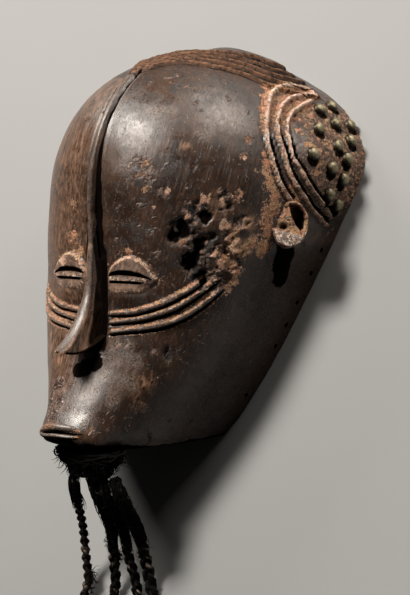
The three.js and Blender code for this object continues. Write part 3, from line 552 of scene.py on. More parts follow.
def carve_eyes(face):
    """Lids, as a dome with a crisp edge, the raised bar below the slit and the soft bag below each."""
    points = face.points
    folded = points.copy()
    far = points[:, 0] < 0
    folded[far, 0] = FAR_EYE["shift"] - points[far, 0]
    folded[far, 1] += FAR_EYE["tilt"] * (folded[far, 0] - 12)
    around_eyes = (folded[:, 0] < 52) & (points[:, 1] > -74) & (points[:, 1] < -28) & (points[:, 2] > 60)
    eye = np.nonzero(around_eyes)[0]
    x, y = folded[eye, 0], folded[eye, 1]
    line_y = lambda line: np.interp(x, *np.transpose(line))
    outline = np.vstack([along(UPPER_LID, 40), along(LOWER_LID, 24)])
    inside = in_outline(folded[eye] + 0.35 * rough(points[eye], 6, 5)[:, None], outline)
    upper = smooth(-52, -47, y)
    dome = 1 - np.exp(-np.maximum(inside, 0) / 4)
    lid = smooth(-0.4, 0.9, inside) * mix(0.6, 1.5, upper) + mix(1.9, 1.5, upper) * dome
    edge = bell(inside - 0.8, 1.3)
    (bag_x, bag_y), (half_x, half_y) = EYE_BAG["middle"], EYE_BAG["half"]
    bag = 1 - smooth(0, 1, np.hypot((x - bag_x) / half_x, (y - bag_y) / half_y))
    bar = bell(y - (line_y(SLIT_FOOT) + line_y(LID_GROOVE_TOP)) / 2, 1.9) * window(11, 14, 37, 41, x)
    above = y - line_y(SLIT_TOP)
    shadow = smooth(-1, 0, above) * (1 - smooth(0.8, 2.6, above + 0.05 * (x - 26) ** 2 / 12))
    lift(face.dark, eye, shadow * window(10, 13, 40, 43, x))
    face.height[eye] += lid + EYE_BAG["height"] * bag + 0.9 * bar
    face.height[eye] -= 0.5 * bell(inside + 1, 0.9) * mix(0.3, 1, upper)
    face.red[eye] = smooth(-1, 1, inside) * mix(0.8, 0.4, upper)
    for level in (edge * mix(0.45, 1, upper), 0.6 * edge * smooth(34, 40, x), 0.62 * bar,
                  0.3 * window(-6, -2, -1, 0, inside) * upper):
        lift(face.crust, eye, level)
    # Painted highlights on the lid's edge, over the lid, most on the lower lid, and on the bar
    polished_and_lit = smooth(0.5, 2, inside)
    for level in (0.5 * edge, 0.45 * polished_and_lit, 0.75 * polished_and_lit * (1 - 0.7 * upper), bar):
        lift(face.pale, eye, level)


def wear(face):
    """The crumbled patch with its pits and fragments, crust, soot, the marks of blade and hands, and painted
    shade, shadow and highlights.
    """
    points = face.points

    # The coarse, dirty ground between the tacks
    ground = smooth(0.7, 0.8, np.abs(face.lean)) * window(5.9, 6.6, 8.6, 9, face.station)
    lumps = 0.35 * rough(points, 2.8, 44, 3) - 0.3 * smooth(0.1, 0.5, rough(points, 6, 45, 3))
    face.height += ground * (face.rib > 4) * lumps

    eroded = smooth(0.28, 0.5, blots(points, EROSION, 0.35) * (0.75 + 0.9 * rough(points, 8, 6, 4)))
    crusted = blots(points, CRUST, 0.15)
    crumbled = 1.3 + 1.1 * rough(points, 5, 7, 3) + 1.3 * rough(points, 9, 8)
    face.height -= eroded * crumbled * (1 - 0.5 * crusted)
    for station, lean, radius, depth in PITS:
        gap = np.linalg.norm((points - skin(station, lean)) * [1, 0.85, 1], axis=-1) / radius
        near = gap < 1.6
        hole = 1 - smooth(0.35, 1, gap[near] + 0.35 * rough(points[near], 0.7 * radius + 0.8, 9, 3))
        face.height[near] -= depth * hole
        if radius > SMALL_PIT:
            lift(face.dark, near, hole)
            eroded[near] *= 1 - hole
        else:
            lift(eroded, near, 0.8 * hole)
    fragment = smooth(0.3, 0.55, blots(points, FRAGMENTS, 0.1) * (0.8 + 0.5 * rough(points, 4, 18, 3)))
    face.height += 0.9 * fragment * eroded
    eroded = eroded * (1 - 0.9 * fragment) * (1 - 0.7 * smooth(0.5, 0.9, crusted) * (face.station < 6.2))
    face.crust = np.maximum.reduce([face.crust, 0.5 * ground, crusted, fragment])
    face.height += 0.22 * smooth(0.5, 0.9, face.crust) * rough(points, 2.4, 12, 3)

    # Painted shade along the near side, painted shadow under the chin and below each tack
    shaded_near_side = smooth(0.4, 0.75, face.lean) * (1 - smooth(5.4, 6, face.station))
    shadow_below = mix(1.2, 0.3, smooth(0.25, 0.6, face.lean)) + 0.12 * rough(points, 9, 17)
    chin_shadow = 1 - smooth(shadow_below - 0.35, shadow_below, face.station)
    soot_and_shadow = 0.5 * blots(points, SOOT_AND_SHADOW, 0)
    face.dark = np.maximum.reduce([face.dark, soot_and_shadow, blots(points, PAINTED_SHADOWS, 0.6, 0.15), 0.48 * shaded_near_side, chin_shadow])
    for station, lean in TACKS:
        gap = np.linalg.norm(points - skin(station - 0.12, lean), axis=-1) / TACK["radius"]
        face.dark = np.maximum(face.dark, 1 - smooth(0.85, 1.2, gap))

    face.nicked = blots(points, NICKS, 0.3)
    face.height -= 0.5 * face.nicked * smooth(-0.05, 0.3, rough(points * [1, 2.2, 1], 4, 16, 2))
    flakes = smooth(0.62, 0.8, rough(points, 7, 14, 3)) * smooth(0.4, 0.75, rough(points, 46, 15) + 0.45)
    face.height -= 0.35 * flakes
    face.eroded = np.maximum(eroded, 0.75 * flakes)
    face.pale = np.maximum.reduce([face.pale, 0.25 * fragment, 0.9 * blots(points, HIGHLIGHTS_AND_DULLED, 0)])
    far_brow = 0.4 * face.far_side * (face.station < 8.8)
    face.red = np.maximum.reduce([face.red, blots(points, RED, 0), far_brow])


def spaced(knots, steps):
    """Places between knots, with so many steps between each two."""
    parts = [np.linspace(a, b, n, endpoint=False) for a, b, n in zip(knots, knots[1:], steps)]
    return np.append(np.concatenate(parts), knots[-1])


def outer_face():
    """The face as a grid of places, whose rows are doubled beside the loops and the tacks."""
    stations = spaced(GRID["stations"], GRID["station_steps"])[:-1]
    near_half, far_half = spaced(GRID["near"], GRID["near_steps"]), spaced(GRID["far"], GRID["far_steps"])
    leans = np.concatenate([-far_half[:0:-1], near_half])
    rows, columns = len(stations), len(leans)
    low, high = DENSE["stations"]
    doubled = [i for i in range(rows - 1) if low < stations[i] < high]
    sides = np.nonzero(np.abs(leans) > DENSE["lean"] - 1e-6)[0]
    between = (stations[doubled] + stations[np.array(doubled) + 1]) / 2
    grid = np.meshgrid(stations, leans, indexing="ij")
    extra = np.meshgrid(between, leans[sides], indexing="ij")
    station, lean = (np.concatenate([a.ravel(), b.ravel()]) for a, b in zip(grid, extra))
    face = Face(station, lean)
    for carve in (carve_keel, carve_furrow, carve_scars, carve_bands, carve_loops, carve_eyes, wear):
        carve(face)
    points = face.bare + face.normals * (face.height + face.swell)[:, None]
    points[:, 2] = np.where(np.abs(lean) == 1, 0, np.maximum(points[:, 2], 0))
    points = np.vstack([points, skin(CROWN, 1.0) * [1, 1, 0]])
    tip, start, wide = len(points) - 1, rows * columns, len(sides)
    middle = {(i, j): start + a * wide + b for a, i in enumerate(doubled) for b, j in enumerate(sides)}
    faces = []
    for i in range(rows - 1):
        for j in range(columns - 1):
            a, b = i * columns + j, i * columns + j + 1
            c, d = b + columns, a + columns
            left, right = middle.get((i, j)), middle.get((i, j + 1))
            if left is None or right is None:
                faces.append([k for k in (a, b, right, c, d, left) if k is not None])
            else:
                faces += [(a, b, right, left), (left, right, c, d)]
    top = (rows - 1) * columns
    faces += [(top + j, top + j + 1, tip) for j in range(columns - 1)]
    # The flat back and the cut plane below the chin, which the hollow opens later
    for i in range(rows - 1):
        a, b = i * columns, (i + 1) * columns
        first, last = middle.get((i, 0)), middle.get((i, columns - 1))
        faces.append([k for k in (a, first, b, b + columns - 1, last, a + columns - 1) if k is not None])
    faces.append((top, tip, top + columns - 1))
    for j in range(columns // 2):
        k = columns - 1 - j
        faces.append((j, k, k - 1, j + 1) if k - 1 > j + 1 else (j, k, j + 1))
    marks = {key: np.append(getattr(face, key), getattr(face, key)[-1]) for key in MARKS}
    return mesh_object("mask_wood", metres(points), faces, marks)


# Solids that join the face or cut it


def solid(name, rings, roughness=0.0, seed=0, cut=0, **marks):
    """A closed solid over rings in the carving's frame, roughened by that much. A mark is a value or a rule
    of the points. The faces that a cut of 1 leaves in the wood are painted black, as the shade inside the
    cut."""
    points, faces = lofted(rings)
    if roughness:
        points = points + unit(points - points.mean(0)) * (roughness * rough(points, 5, seed, 3))[:, None]
    values = {key: np.zeros(len(points)) for key in MARKS}
    values["rib"] += FAR_FROM_RIBS
    for key, rule in marks.items():
        values[key] = rule(points) if callable(rule) else np.full(len(points), rule)
    made = mesh_object(name, metres(points), faces, values)
    cuts = made.data.attributes.new("cut", "FLOAT", "FACE").data
    cuts.foreach_set("value", [float(cut)] * len(cuts))
    return made


def hollow():
    """The cutter of the hollow, which runs past the back and past the cut edge below the chin."""
    past = 12
    s, l = np.meshgrid(np.linspace(0, 11.1, 54), np.linspace(-1, 1, 61), indexing="ij")
    arch = bare_skin(s, l)
    tooled = 0.55 * np.abs(rough(arch * [1, 0.45, 1], 13, 31, 1)) - 0.2
    arch = arch - skin_normal(s, l) * (WALL - tooled)[..., None]
    first, last = arch[:, :1].copy(), arch[:, -1:].copy()
    first[..., 2] = last[..., 2] = -past
    rings = np.concatenate([first, arch, last], 1)
    keel_y, keel_z, rim_y = RIBS[0][:3]
    out = unit(np.array([0.0, -keel_z, keel_y - rim_y]))
    rings = np.concatenate([rings[:1] + out * past, rings])
    past_edge = lambda p: (p - [0, keel_y, keel_z]) @ out
    # Painted shadow on the cut face below the chin
    return solid("hollow", rings, inside=1.0, dark=lambda p: smooth(-14, -3, past_edge(p)))


def keel_height(y):
    return np.interp(y, RIBS[:, 0], RIBS[:, 1])


def set_back(drop):
    """How far the tip of the nose slopes back at a drop below its crest."""
    return NOSE["slant"] * (drop.clip(0) / NOSE["stand"]) ** 2.4


def nose():
    """The nose, whose rings lean more and more, so that its underside slopes to the face behind the tip."""
    ridge = along(NOSE_RIDGE, 64)
    bend_x, bend_z = NOSE["bend"]
    rings = []
    for t, (x, y, z) in zip(np.linspace(0, 1, len(ridge)), ridge):
        face = keel_height(y)
        foot = min(face, z) - NOSE["depth"]
        base = mix(NOSE["root"], NOSE["wing"], t**0.8)
        crest = mix(*NOSE["crest"], smooth(0, 0.8, t)) * (1 - 0.12 * smooth(0.85, 1, t))
        shoulder = mix(*NOSE["shoulder"], t)
        v = np.linspace(0, 1, 15)
        share = 2 * v * (1 - v) * bend_x + v * v
        rise = 2 * v * (1 - v) * bend_z + v * v
        flank = np.stack([mix(base, crest, share), mix(face - 0.6, z - shoulder, rise)], 1)
        angle = np.linspace(0, math.pi / 2, 9)[1:]
        top = np.stack([crest * np.cos(angle), z - shoulder * (1 - np.sin(angle))], 1)
        half = np.vstack([[[base, foot]], flank, top])
        section = np.vstack([half, half[-2::-1] * [-1, 1]])
        leaning = y + smooth(0.25, 1, t) * set_back(z - section[:, 1])
        rings.append(np.column_stack([section[:, 0] + x, leaning, section[:, 1]]))
    tip = rings[-1]
    middle = tip.mean(0) + [0, -1.5, 3]
    for share, step in ((0.95, -1.0), (0.86, -1.2), (0.6, -0.4), (0.3, 0.4)):
        rings.append(middle + (tip - middle) * share + [0, step, 0])

    def shade(p):
        """Painted shade at its foot and low on the near flank, which is turned from the light, and painted
        shadow below the tip.
        """
        x, y, z = p.T
        face = keel_height(y)
        low = 1 - smooth(-1, 4, z - face)
        past_tip = y - ridge[-1, 1] - set_back(ridge[-1, 2] - z)
        below = (1 - smooth(0.3, 1.6, past_tip)) * (1 - smooth(124, 127, z))
        share = (z - face) / (np.interp(-y, -ridge[:, 1], ridge[:, 2]) - face)
        turned = smooth(1.5, 3.5, x) * (1 - smooth(0.32, 0.58, share)) * smooth(-104, -90, y)
        return np.maximum.reduce([low, below, turned])

    # A painted highlight along the crest
    return solid("nose", rings, 0.18, 33, dark=shade,
                 pale=lambda p: 0.6 * (1 - smooth(2, 5, np.abs(p[:, 0]))),
                 crust=lambda p: 0.8 * smooth(-106, -108.2, p[:, 1]) * smooth(-9, -4, -np.abs(p[:, 0])),
                 red=lambda p: 0.8 * smooth(2, 4, np.abs(p[:, 0])))


def mouth_at(share, rise=0.0):
    """A point of the mouth line, or of a line above it."""
    y = MOUTH["y"] + MOUTH["slope"] * share + (rise - MOUTH["sag"]) * (1 - share**4)
    return [MOUTH["x"] + MOUTH["half_width"] * share, y, MOUTH["z"] + MOUTH["bow"] * (1 - share * share)]


def lip(rise, radius, forward):
    rings = []
    angle = np.linspace(0, 2 * math.pi, 20, endpoint=False)
    for share in np.linspace(-1, 1, 45):
        full = 1 - share * share
        middle = np.add(mouth_at(share, rise), [0, 0, forward * full])
        rings.append(middle + radius * (0.3 + 0.7 * math.sqrt(full)) * around(angle, [0, 1, 0], [0, 0, 1]))

    def above(p):
        share = np.clip((p[:, 0] - MOUTH["x"]) / MOUTH["half_width"], -1, 1)
        return p[:, 1] - mouth_at(share, rise)[1]

    # Painted shade towards the mouth, painted shadow under the lower lip, painted highlights along the lips,
    # and worn on the far half of the upper one
    inner = lambda p: 1 - smooth(-2.5, -1.6, above(p) * np.sign(rise))
    shadow_below = lambda p: (rise < 0) * smooth(0, -0.9, above(p))
    worn = lambda p: (rise > 0) * smooth(-1, 7, -p[:, 0])
    return solid("lip", rings, 0.22, 34 + rise,
                 pale=lambda p: 0.8 * (1 - inner(p)) * (1 - smooth(8, 14, p[:, 0])) * (1 - worn(p)),
                 crust=lambda p: 0.95 * smooth(9, 14, p[:, 0]) + 0.42 * worn(p),
                 red=lambda p: 0.8 * worn(p),
                 dark=lambda p: np.maximum(0.8 * inner(p), shadow_below(p)))


def mouth_slit():
    rings = []
    for share in np.linspace(-1, 1, 31):
        x, y, z = mouth_at(share * MOUTH_SLIT["share"])
        size = MOUTH_SLIT["half_height"] * math.sqrt(1 - share * share) + 0.12
        low, high = z - MOUTH_SLIT["depth"], z + 4 * MOUTH_SLIT["depth"]
        rings.append([[x, y - size, low], [x, y + size, low], [x, y + size, high], [x, y - size, high]])
    return solid("mouth_slit", rings, cut=1, dark=1.0)


def frame_at(station, lean, turn=0.0):
    """Unit vectors outwards across the face, up it and out of it, at a place on the face."""
    w = unit(mix(skin_normal(station, lean), np.array([0, 0, 1.0]), turn))
    v = unit(np.cross(w, [np.sign(lean), 0, 0])) * np.sign(lean)
    return np.cross(v, w), v, w


def ear(side):
    """An ear: an oval on a low wall, with a hollow, a hole, a rim round the hollow and a fuller lobe."""
    station, lean = EAR["place"]
    u_axis, v_axis, w_axis = frame_at(station, lean * side, EAR["turn"])
    (hole_x, hole_y), hole_size = EAR["hole"]
    half_u, half_v = EAR["half"]
    angle = np.linspace(0, 2 * math.pi, 84, endpoint=False)
    shares = np.append(np.linspace(0.04, 0.86, 20), [0.89, 0.92, 0.95, 0.98, 1])
    heights, shaded_hollows, lobes = [], [], []
    for share in shares:
        x, y = share * np.cos(angle), share * np.sin(angle)
        flat = np.stack([x * half_u, y * half_v], -1)
        deep = smooth(-0.5, 1.2, in_outline(flat, np.array(EAR["hollow"]) * EAR["half"]))
        hole = bell(np.hypot((flat[:, 0] - hole_x * half_u) / 1.5, flat[:, 1] - hole_y * half_v), hole_size)
        lobe = smooth(-0.3, -0.48, y + 0.06 * x)
        rim = bell(share - 0.91, 0.07) * smooth(-0.55, -0.1, x) * (1 - lobe)
        hump = bell(x + 0.35, 0.4) * bell(y - 0.15, 0.4)
        h = 6 - 1.6 * smooth(0.2, -0.8, x) + 2.6 * rim - 7.5 * deep - 4.5 * hole + 3 * lobe + 1.5 * hump
        heights.append(h - 1.6 * smooth(0.93, 1, share) ** 2)
        shaded_hollows.append(np.maximum(deep, hole))
        lobes.append(lobe)
    walls = [(1.0, mix(heights[-1], -EAR["sunk"], t)) for t in (0.35, 1)]
    rings = []
    for share, h in [*zip(shares, heights), *walls]:
        u, v = share * half_u * np.cos(angle), share * half_v * np.sin(angle)
        out = h + 1.5 * smooth(-2, -14, v)
        rings.append(skin(station, lean * side) + np.stack([u, v, out], 1) @ [u_axis, v_axis, w_axis])
    rest = np.zeros(len(walls) * len(angle) + 2)
    shaded_hollows, lobes = np.append(np.ravel(shaded_hollows), rest), np.append(np.ravel(lobes), rest)
    # The hollow and the hole are painted dark for the shade in them
    return solid(f"ear_{side}", rings, 0.25, 37 + side, crust=lambda p: 0.7 - 0.25 * lobes,
                 dark=lambda p: shaded_hollows, pale=lambda p: lobes)


def slot_cutter(name, top, foot, side, low):
    """A closed cutter between two lines on the eye of that side, up from low, which is a rule of x and y."""
    rings = []
    for (x, y_top), (_, y_foot) in zip(along(top, 30), along(foot, 30)):
        foot_place, top_place = eye_place(x, y_foot, side), eye_place(x, y_top, side)
        rings.append([[*foot_place, low(x, y_foot)], [*top_place, low(x, y_top)],
                      [*top_place, OVER_FACE], [*foot_place, OVER_FACE]])
    return solid(name, rings, cut=1, dark=1.0)


def groove_floor(x, y):
    """Height of the floor of the groove in the lid, over a point near the eye."""
    s, l = np.meshgrid(np.linspace(4.4, 5.8, 60), np.linspace(0.05, 0.4, 60), indexing="ij")
    points = skin(s, l, 2.7).reshape(-1, 3)
    return points[np.argmin(np.hypot(points[:, 0] - x, points[:, 1] - y)), 2] - LID_GROOVE_DEPTH


def rim_hole(station, lean):
    up, out = np.array([0, 1.0, 0]), frame_at(station, lean)[2]
    angle = np.linspace(0, 2 * math.pi, 16, endpoint=False)
    ring = skin(station, lean) + RIM_HOLES["radius"] * around(angle, unit(np.cross(out, up)), up)
    return solid("rim_hole", [ring + out * depth for depth in (-2.5 * WALL, WALL)], cut=1, dark=1.0)


def combine(target, others, operation):
    """Joins others to the target or cuts them from it. Vertices that this makes have no marks, so they take
    those of their neighbours."""
    for other in others:
        step = target.modifiers.new("step", "BOOLEAN")
        step.operation, step.solver, step.object = operation, "MANIFOLD", other
    bpy.context.view_layer.update()
    whole = bpy.data.meshes.new_from_object(target.evaluated_get(bpy.context.evaluated_depsgraph_get()))
    target.modifiers.clear()
    target.data = whole
    for other in others:
        bpy.data.objects.remove(other)

    count, edges = len(whole.vertices), np.empty(2 * len(whole.edges), np.int32)
    whole.edges.foreach_get("vertices", edges)
    pairs = np.vstack([edges.reshape(-1, 2), edges.reshape(-1, 2)[:, ::-1]])
    marks = {key: np.empty(count, np.float32) for key in MARKS}
    for key, values in marks.items():
        whole.attributes[key].data.foreach_get("value", values)
    known = marks["rib"] > 0
    for _ in range(5):
        taken = pairs[known[pairs[:, 1]] & ~known[pairs[:, 0]]]
        number = np.bincount(taken[:, 0], minlength=count)
        for key, values in marks.items():
            total = np.bincount(taken[:, 0], values[taken[:, 1]], minlength=count)
            marks[key] = np.where(number > 0, total / np.maximum(number, 1), values)
        known |= number > 0
    for key, values in marks.items():
        whole.attributes[key].data.foreach_set("value", values.astype(np.float32))


# Tacks


def tack(name, station, lean, seed):
    """A slightly uneven domed head, worn bright on its top, with painted shade on its low skirt."""
    normal = skin_normal(station, lean)
    u = unit(np.cross([0, 1.0, 0], normal))
    seat = skin(station, lean) + normal * (0.3 - TACK["sunk"])
    angle = np.linspace(0, 2 * math.pi, 28, endpoint=False)
    edge, height = 0.25, TACK["height"]
    profile = [(0.93, -1.2), (0.97, 0), (1.0, edge)]
    profile += [(math.cos(a), edge + (height - edge) * math.sin(a)) for a in np.linspace(0.12, 1.45, 9)]
    wave = 1 + 0.03 * np.sin(2 * angle + seed) + 0.02 * np.sin(5 * angle + 2.3 * seed)
    oval = TACK["radius"] * wave[:, None] * around(angle, u, np.cross(normal, u))
    points, faces = lofted([seat + share * oval + normal * h for share, h in profile])
    points = points + normal * (0.06 * rough(points, 2.6, seed, 2))[:, None]
    worn = smooth(0.45, 1, ((points - seat) * normal).sum(-1) / height)
    return mesh_object(name, metres(points), faces, {"worn": worn})


# The beard


def centripetal(route, count):
    """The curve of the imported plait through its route, as count points evenly along it."""
    points = np.asarray(route, float)
    points = np.vstack([2 * points[0] - points[1], points, 2 * points[-1] - points[-2]])
    out = []
    for k in range(len(route) - 1):
        p = points[k:k + 4]
        gap = np.sqrt(np.linalg.norm(np.diff(p, axis=0), axis=1))[:, None]
        across = p[2] - p[1]
        leave = ((p[1] - p[0]) / gap[0] - (p[2] - p[0]) / (gap[0] + gap[1]) + across / gap[1]) * gap[1]
        reach = (across / gap[1] - (p[3] - p[1]) / (gap[1] + gap[2]) + (p[3] - p[2]) / gap[2]) * gap[1]
        t = np.linspace(0, 1, 40)[:, None]
        piece = p[1] + leave * t + (3 * across - 2 * leave - reach) * t**2
        piece = piece + (leave + reach - 2 * across) * t**3
        out.append(piece[: 40 if k == len(route) - 2 else 39])
    out = np.vstack(out)
    length = np.append(0, np.cumsum(np.linalg.norm(np.diff(out, axis=0), axis=1)))
    even = np.linspace(0, length[-1], count)
    return np.stack([np.interp(even, length, out[:, k]) for k in range(3)], 1), length[-1]


def transported(path):
    """Directions along, across and up at each point of a path, which turn as little as they can."""
    heading = unit(np.gradient(path, axis=0))
    up = np.array([0.0, 0.35, 1.0])
    ups = []
    for h in heading:
        up = unit(up - h * np.dot(up, h))
        ups.append(up)
    ups = np.array(ups)
    return heading, np.cross(heading, ups), ups


class Bundle:
    """Many thin tubes that become one mesh. Each has its own shade, which its material reads."""

    def __init__(self):
        self.points, self.faces, self.shade, self.start = [], [], [], 0

    def add(self, path, radius, sides, shade):
        """A tube along a path, with flat ends."""
        path = np.asarray(path, float)
        _, across, up = transported(path)
        angle = np.linspace(0, 2 * math.pi, sides, endpoint=False)[:, None]
        outwards = np.cos(angle) * across[:, None] + np.sin(angle) * up[:, None]
        rings = path[:, None] + np.broadcast_to(radius, len(path))[:, None, None] * outwards
        rows, start = len(rings), self.start
        self.points += [rings.reshape(-1, 3), rings[:1].mean(1), rings[-1:].mean(1)]
        self.faces += grid_faces(rows, sides, start, closed=True)
        first, last, top = start + rows * sides, start + rows * sides + 1, start + (rows - 1) * sides
        self.faces += [(first, start + (j + 1) % sides, start + j) for j in range(sides)]
        self.faces += [(last, top + j, top + (j + 1) % sides) for j in range(sides)]
        self.shade.append(np.full(rows * sides + 2, shade))
        self.start += rows * sides + 2

    def made(self, name):
        shade = {"shade": np.concatenate(self.shade)}
        return mesh_object(name, metres(np.vstack(self.points)), self.faces, shade)


def braid(name, path, width, length, dust, rng):
    """Three strands that cross in turn, each of a few yarns."""
    _, across, up = transported(path)
    share = np.linspace(0, length, len(path))
    wander = 1 + 0.1 * np.array([noise.noise(Vector((s / 9, width, 3))) for s in share])
    yarns = []
    for strand in range(3):
        phase = 2 * math.pi * (share / (TWIST * width) + strand / 3)
        side, rise = 0.235 * width * np.sin(phase) * wander, 0.14 * width * np.sin(2 * phase)
        for k in range(YARNS):
            spin = 2 * math.pi * (k / YARNS + share / (1.7 * width)) + rng.uniform(0, 0.5)
            swell = 0.165 * width * (1 + 0.22 * np.sin(share / (0.8 + 0.3 * k) + rng.uniform(0, 6)))
            aside = across * (side + swell * np.cos(spin))[:, None]
            yarns.append(path + aside + up * (rise + swell * np.sin(spin))[:, None])
    strands = Bundle()
    for yarn in yarns:
        yarn[:, 2] = np.maximum(yarn[:, 2], 0.75)
        radius = 0.105 * width * (1 + 0.15 * rng.normal(0, 1, len(path)).cumsum() / len(path))
        strands.add(yarn, radius, 6, rng.uniform(0, 1) + dust)
    return strands.made(name)


def whisker(start, heading, size, rng, bend=0.6, steps=7):
    """A short loose fibre that leaves start along heading and wanders."""
    points, heading = [start], unit(heading)
    for _ in range(steps - 1):
        heading = unit(heading + rng.normal(0, bend, 3) * [1, 1, 0.6])
        step = points[-1] + heading * size / (steps - 1)
        step[2] = max(step[2], ON_FLOOR)
        points.append(step)
    return along(points, 2 * steps)


def tapered(thick, thin):
    """The radius along a whisker."""
    return np.linspace(thick, thin, 14)


def loose_fibres(name, path, width, dust, tufts, rng):
    """Short fibres that stand off a plait, longer ones that come down it from the tie, and tufts."""
    heading, across, up = transported(path)
    fibres = Bundle()
    for _ in range(70):
        i = rng.integers(4, len(path) - 4)
        out = around(rng.uniform(0, 2 * math.pi), across[i], up[i])
        aim = out * 0.5 + heading[i] * rng.uniform(0.2, 1.2)
        strand = whisker(path[i] + out * 0.36 * width, aim, rng.uniform(2.5, 7), rng)
        fibres.add(strand, tapered(0.16, 0.05), 3, rng.uniform(0.2, 1))
    number, share = (150, 0.3) if dust < 0.5 else (70, 0.1)
    for _ in range(number):
        i = rng.integers(0, int(share * len(path)))
        out = around(rng.uniform(0, 2 * math.pi), across[i], up[i])
        way = path[i:i + rng.integers(18, 40):3] + out * width * rng.uniform(0.36, 0.52)
        way = along(way + rng.normal(0, 0.22, way.shape).cumsum(0), 14)
        fibres.add(way, tapered(rng.uniform(0.35, 0.6), 0.12), 4, rng.uniform(0, 0.5))
    for place, side, size, number in tufts:
        for _ in range(number):
            i = int(len(path) * place) + rng.integers(-5, 6)
            aim = across[i] * side + up[i] * rng.uniform(-0.3, 0.5) + heading[i] * rng.uniform(-0.2, 0.7)
            start = path[i] + across[i] * side * 0.3 * width
            strand = whisker(start, aim, rng.uniform(0.5, 1) * size, rng, 0.4)
            fibres.add(strand, tapered(0.3, 0.12), 4, rng.uniform(0.4, 1))
    return fibres.made(name)


def frayed_end(name, path, width, rng):
    """The bound end of a plait and the fibres that come out of it."""
    end, ahead = path[-1], unit((path[-1] - path[-2]) * [1, 1, 0])
    aside, up = np.cross(ahead, [0, 0, 1.0]), np.array([0, 0, 1.0])
    fibres = Bundle()
    turns = np.linspace(0, 2 * math.pi * 6, 150)
    wrap = (0.42 * width + 0.25 * np.sin(turns * 0.37))[:, None]
    coil = end + 0.2 * up + np.linspace(-2.2, 3.4, 150)[:, None] * ahead + wrap * around(turns, aside, up)
    coil[:, 2] = np.maximum(coil[:, 2], 0.6)
    fibres.add(coil, 0.55, 6, 0.9)
    for _ in range(60):
        turn, out = rng.uniform(0, 2 * math.pi), 0.36 * width * math.sqrt(rng.uniform(0, 1))
        start = end - ahead * 1.5 + out * around(turn, aside, up)
        start[2] = max(start[2], ON_FLOOR)
        strand = whisker(start, ahead + around(turn, 0.35 * aside, 0.2 * up), rng.uniform(8, 13), rng, 0.22)
        fibres.add(strand, tapered(0.34, 0.1), 4, rng.uniform(0, 1))
    return fibres.made(name)


def tie():
    """The tangle of fibre lashed below the chin, on the axes of the cut edge."""
    rng = np.random.default_rng(71)
    keel_y, keel_z, rim_y = RIBS[0][:3]
    down = unit(np.array([0.0, -keel_z, keel_y - rim_y]))
    right, back = np.array([1.0, 0, 0]), np.array([0, down[2], -down[1]])
    middle = np.array(TIE["middle"], float)
    wide, deep, drop = TIE["half_width"], TIE["half_depth"], TIE["drop"]
    taper = lambda depth: 1.02 - 0.42 * smooth(0.15, 1, np.asarray(depth))

    angle = np.linspace(0, 2 * math.pi, 72, endpoint=False)
    rings = []
    for depth in np.linspace(0, 1, 18):
        lump = taper(depth) * (1 + 0.05 * np.sin(3 * angle + 5 * depth))
        inner = around(angle, (wide - TIE["skin"]) * right, (deep - TIE["skin"]) * back)
        rings.append(middle + down * depth * drop + lump[:, None] * inner)
    core, faces = lofted(rings)
    core = core + unit(core - middle - down * drop / 2) * (1.6 * rough(core, 6, 51, 4) - 0.5)[:, None]

    fibres = Bundle()
    for _ in range(150):
        # Windings that run around the tangle, each at its own slant
        depth, slant, phase = rng.uniform(0, 1), rng.normal(0, 0.5), rng.uniform(0, 2 * math.pi)
        arc = np.linspace(0, rng.uniform(0.8, 3.4), 40) + phase
        level = np.clip(depth + slant * np.sin(1.7 * arc + phase), 0, 1.12)
        lump = taper(level) + rng.uniform(-0.06, 0.05)
        path = lump[:, None] * around(arc, wide * right, deep * back)
        path = path + middle + (level * drop)[:, None] * down
        path = path + rng.normal(0, 0.2, path.shape).cumsum(0) * 0.6
        fibres.add(path, rng.uniform(0.3, 0.75), 5, rng.uniform(0, 0.4))
    for _ in range(420):
        turn, depth = rng.uniform(0, 2 * math.pi), rng.uniform(0, 1)
        out = around(turn, right, back)
        start = middle + down * depth * drop + out * [wide, deep, deep] * taper(depth) * 0.97
        aim = 0.5 * out + down * 1.2 + rng.normal(0, 0.6, 3)
        strand = whisker(start, aim, rng.uniform(4, 10), rng, 0.45)
        fibres.add(strand, tapered(rng.uniform(0.25, 0.6), 0.08), 3, rng.uniform(0, 0.5))
    turn = np.linspace(*TIE["curl_turn"], 26)
    curl = np.array(TIE["curl"]) + TIE["curl_radius"] * around(turn, [1, 0, 0], [0, 1, 0.3])
    fibres.add(np.vstack([TIE["curl_start"], curl]), 0.6, 6, 0.5)
    wound = fibres.made("beard_tangle")
    return wound, mesh_object("tangle_core", metres(core), faces, {"shade": np.zeros(len(core))})


# Materials

MILLIMETRES = (1000, 1000, 1000)  # the scale that turns places in metres into places in millimetres


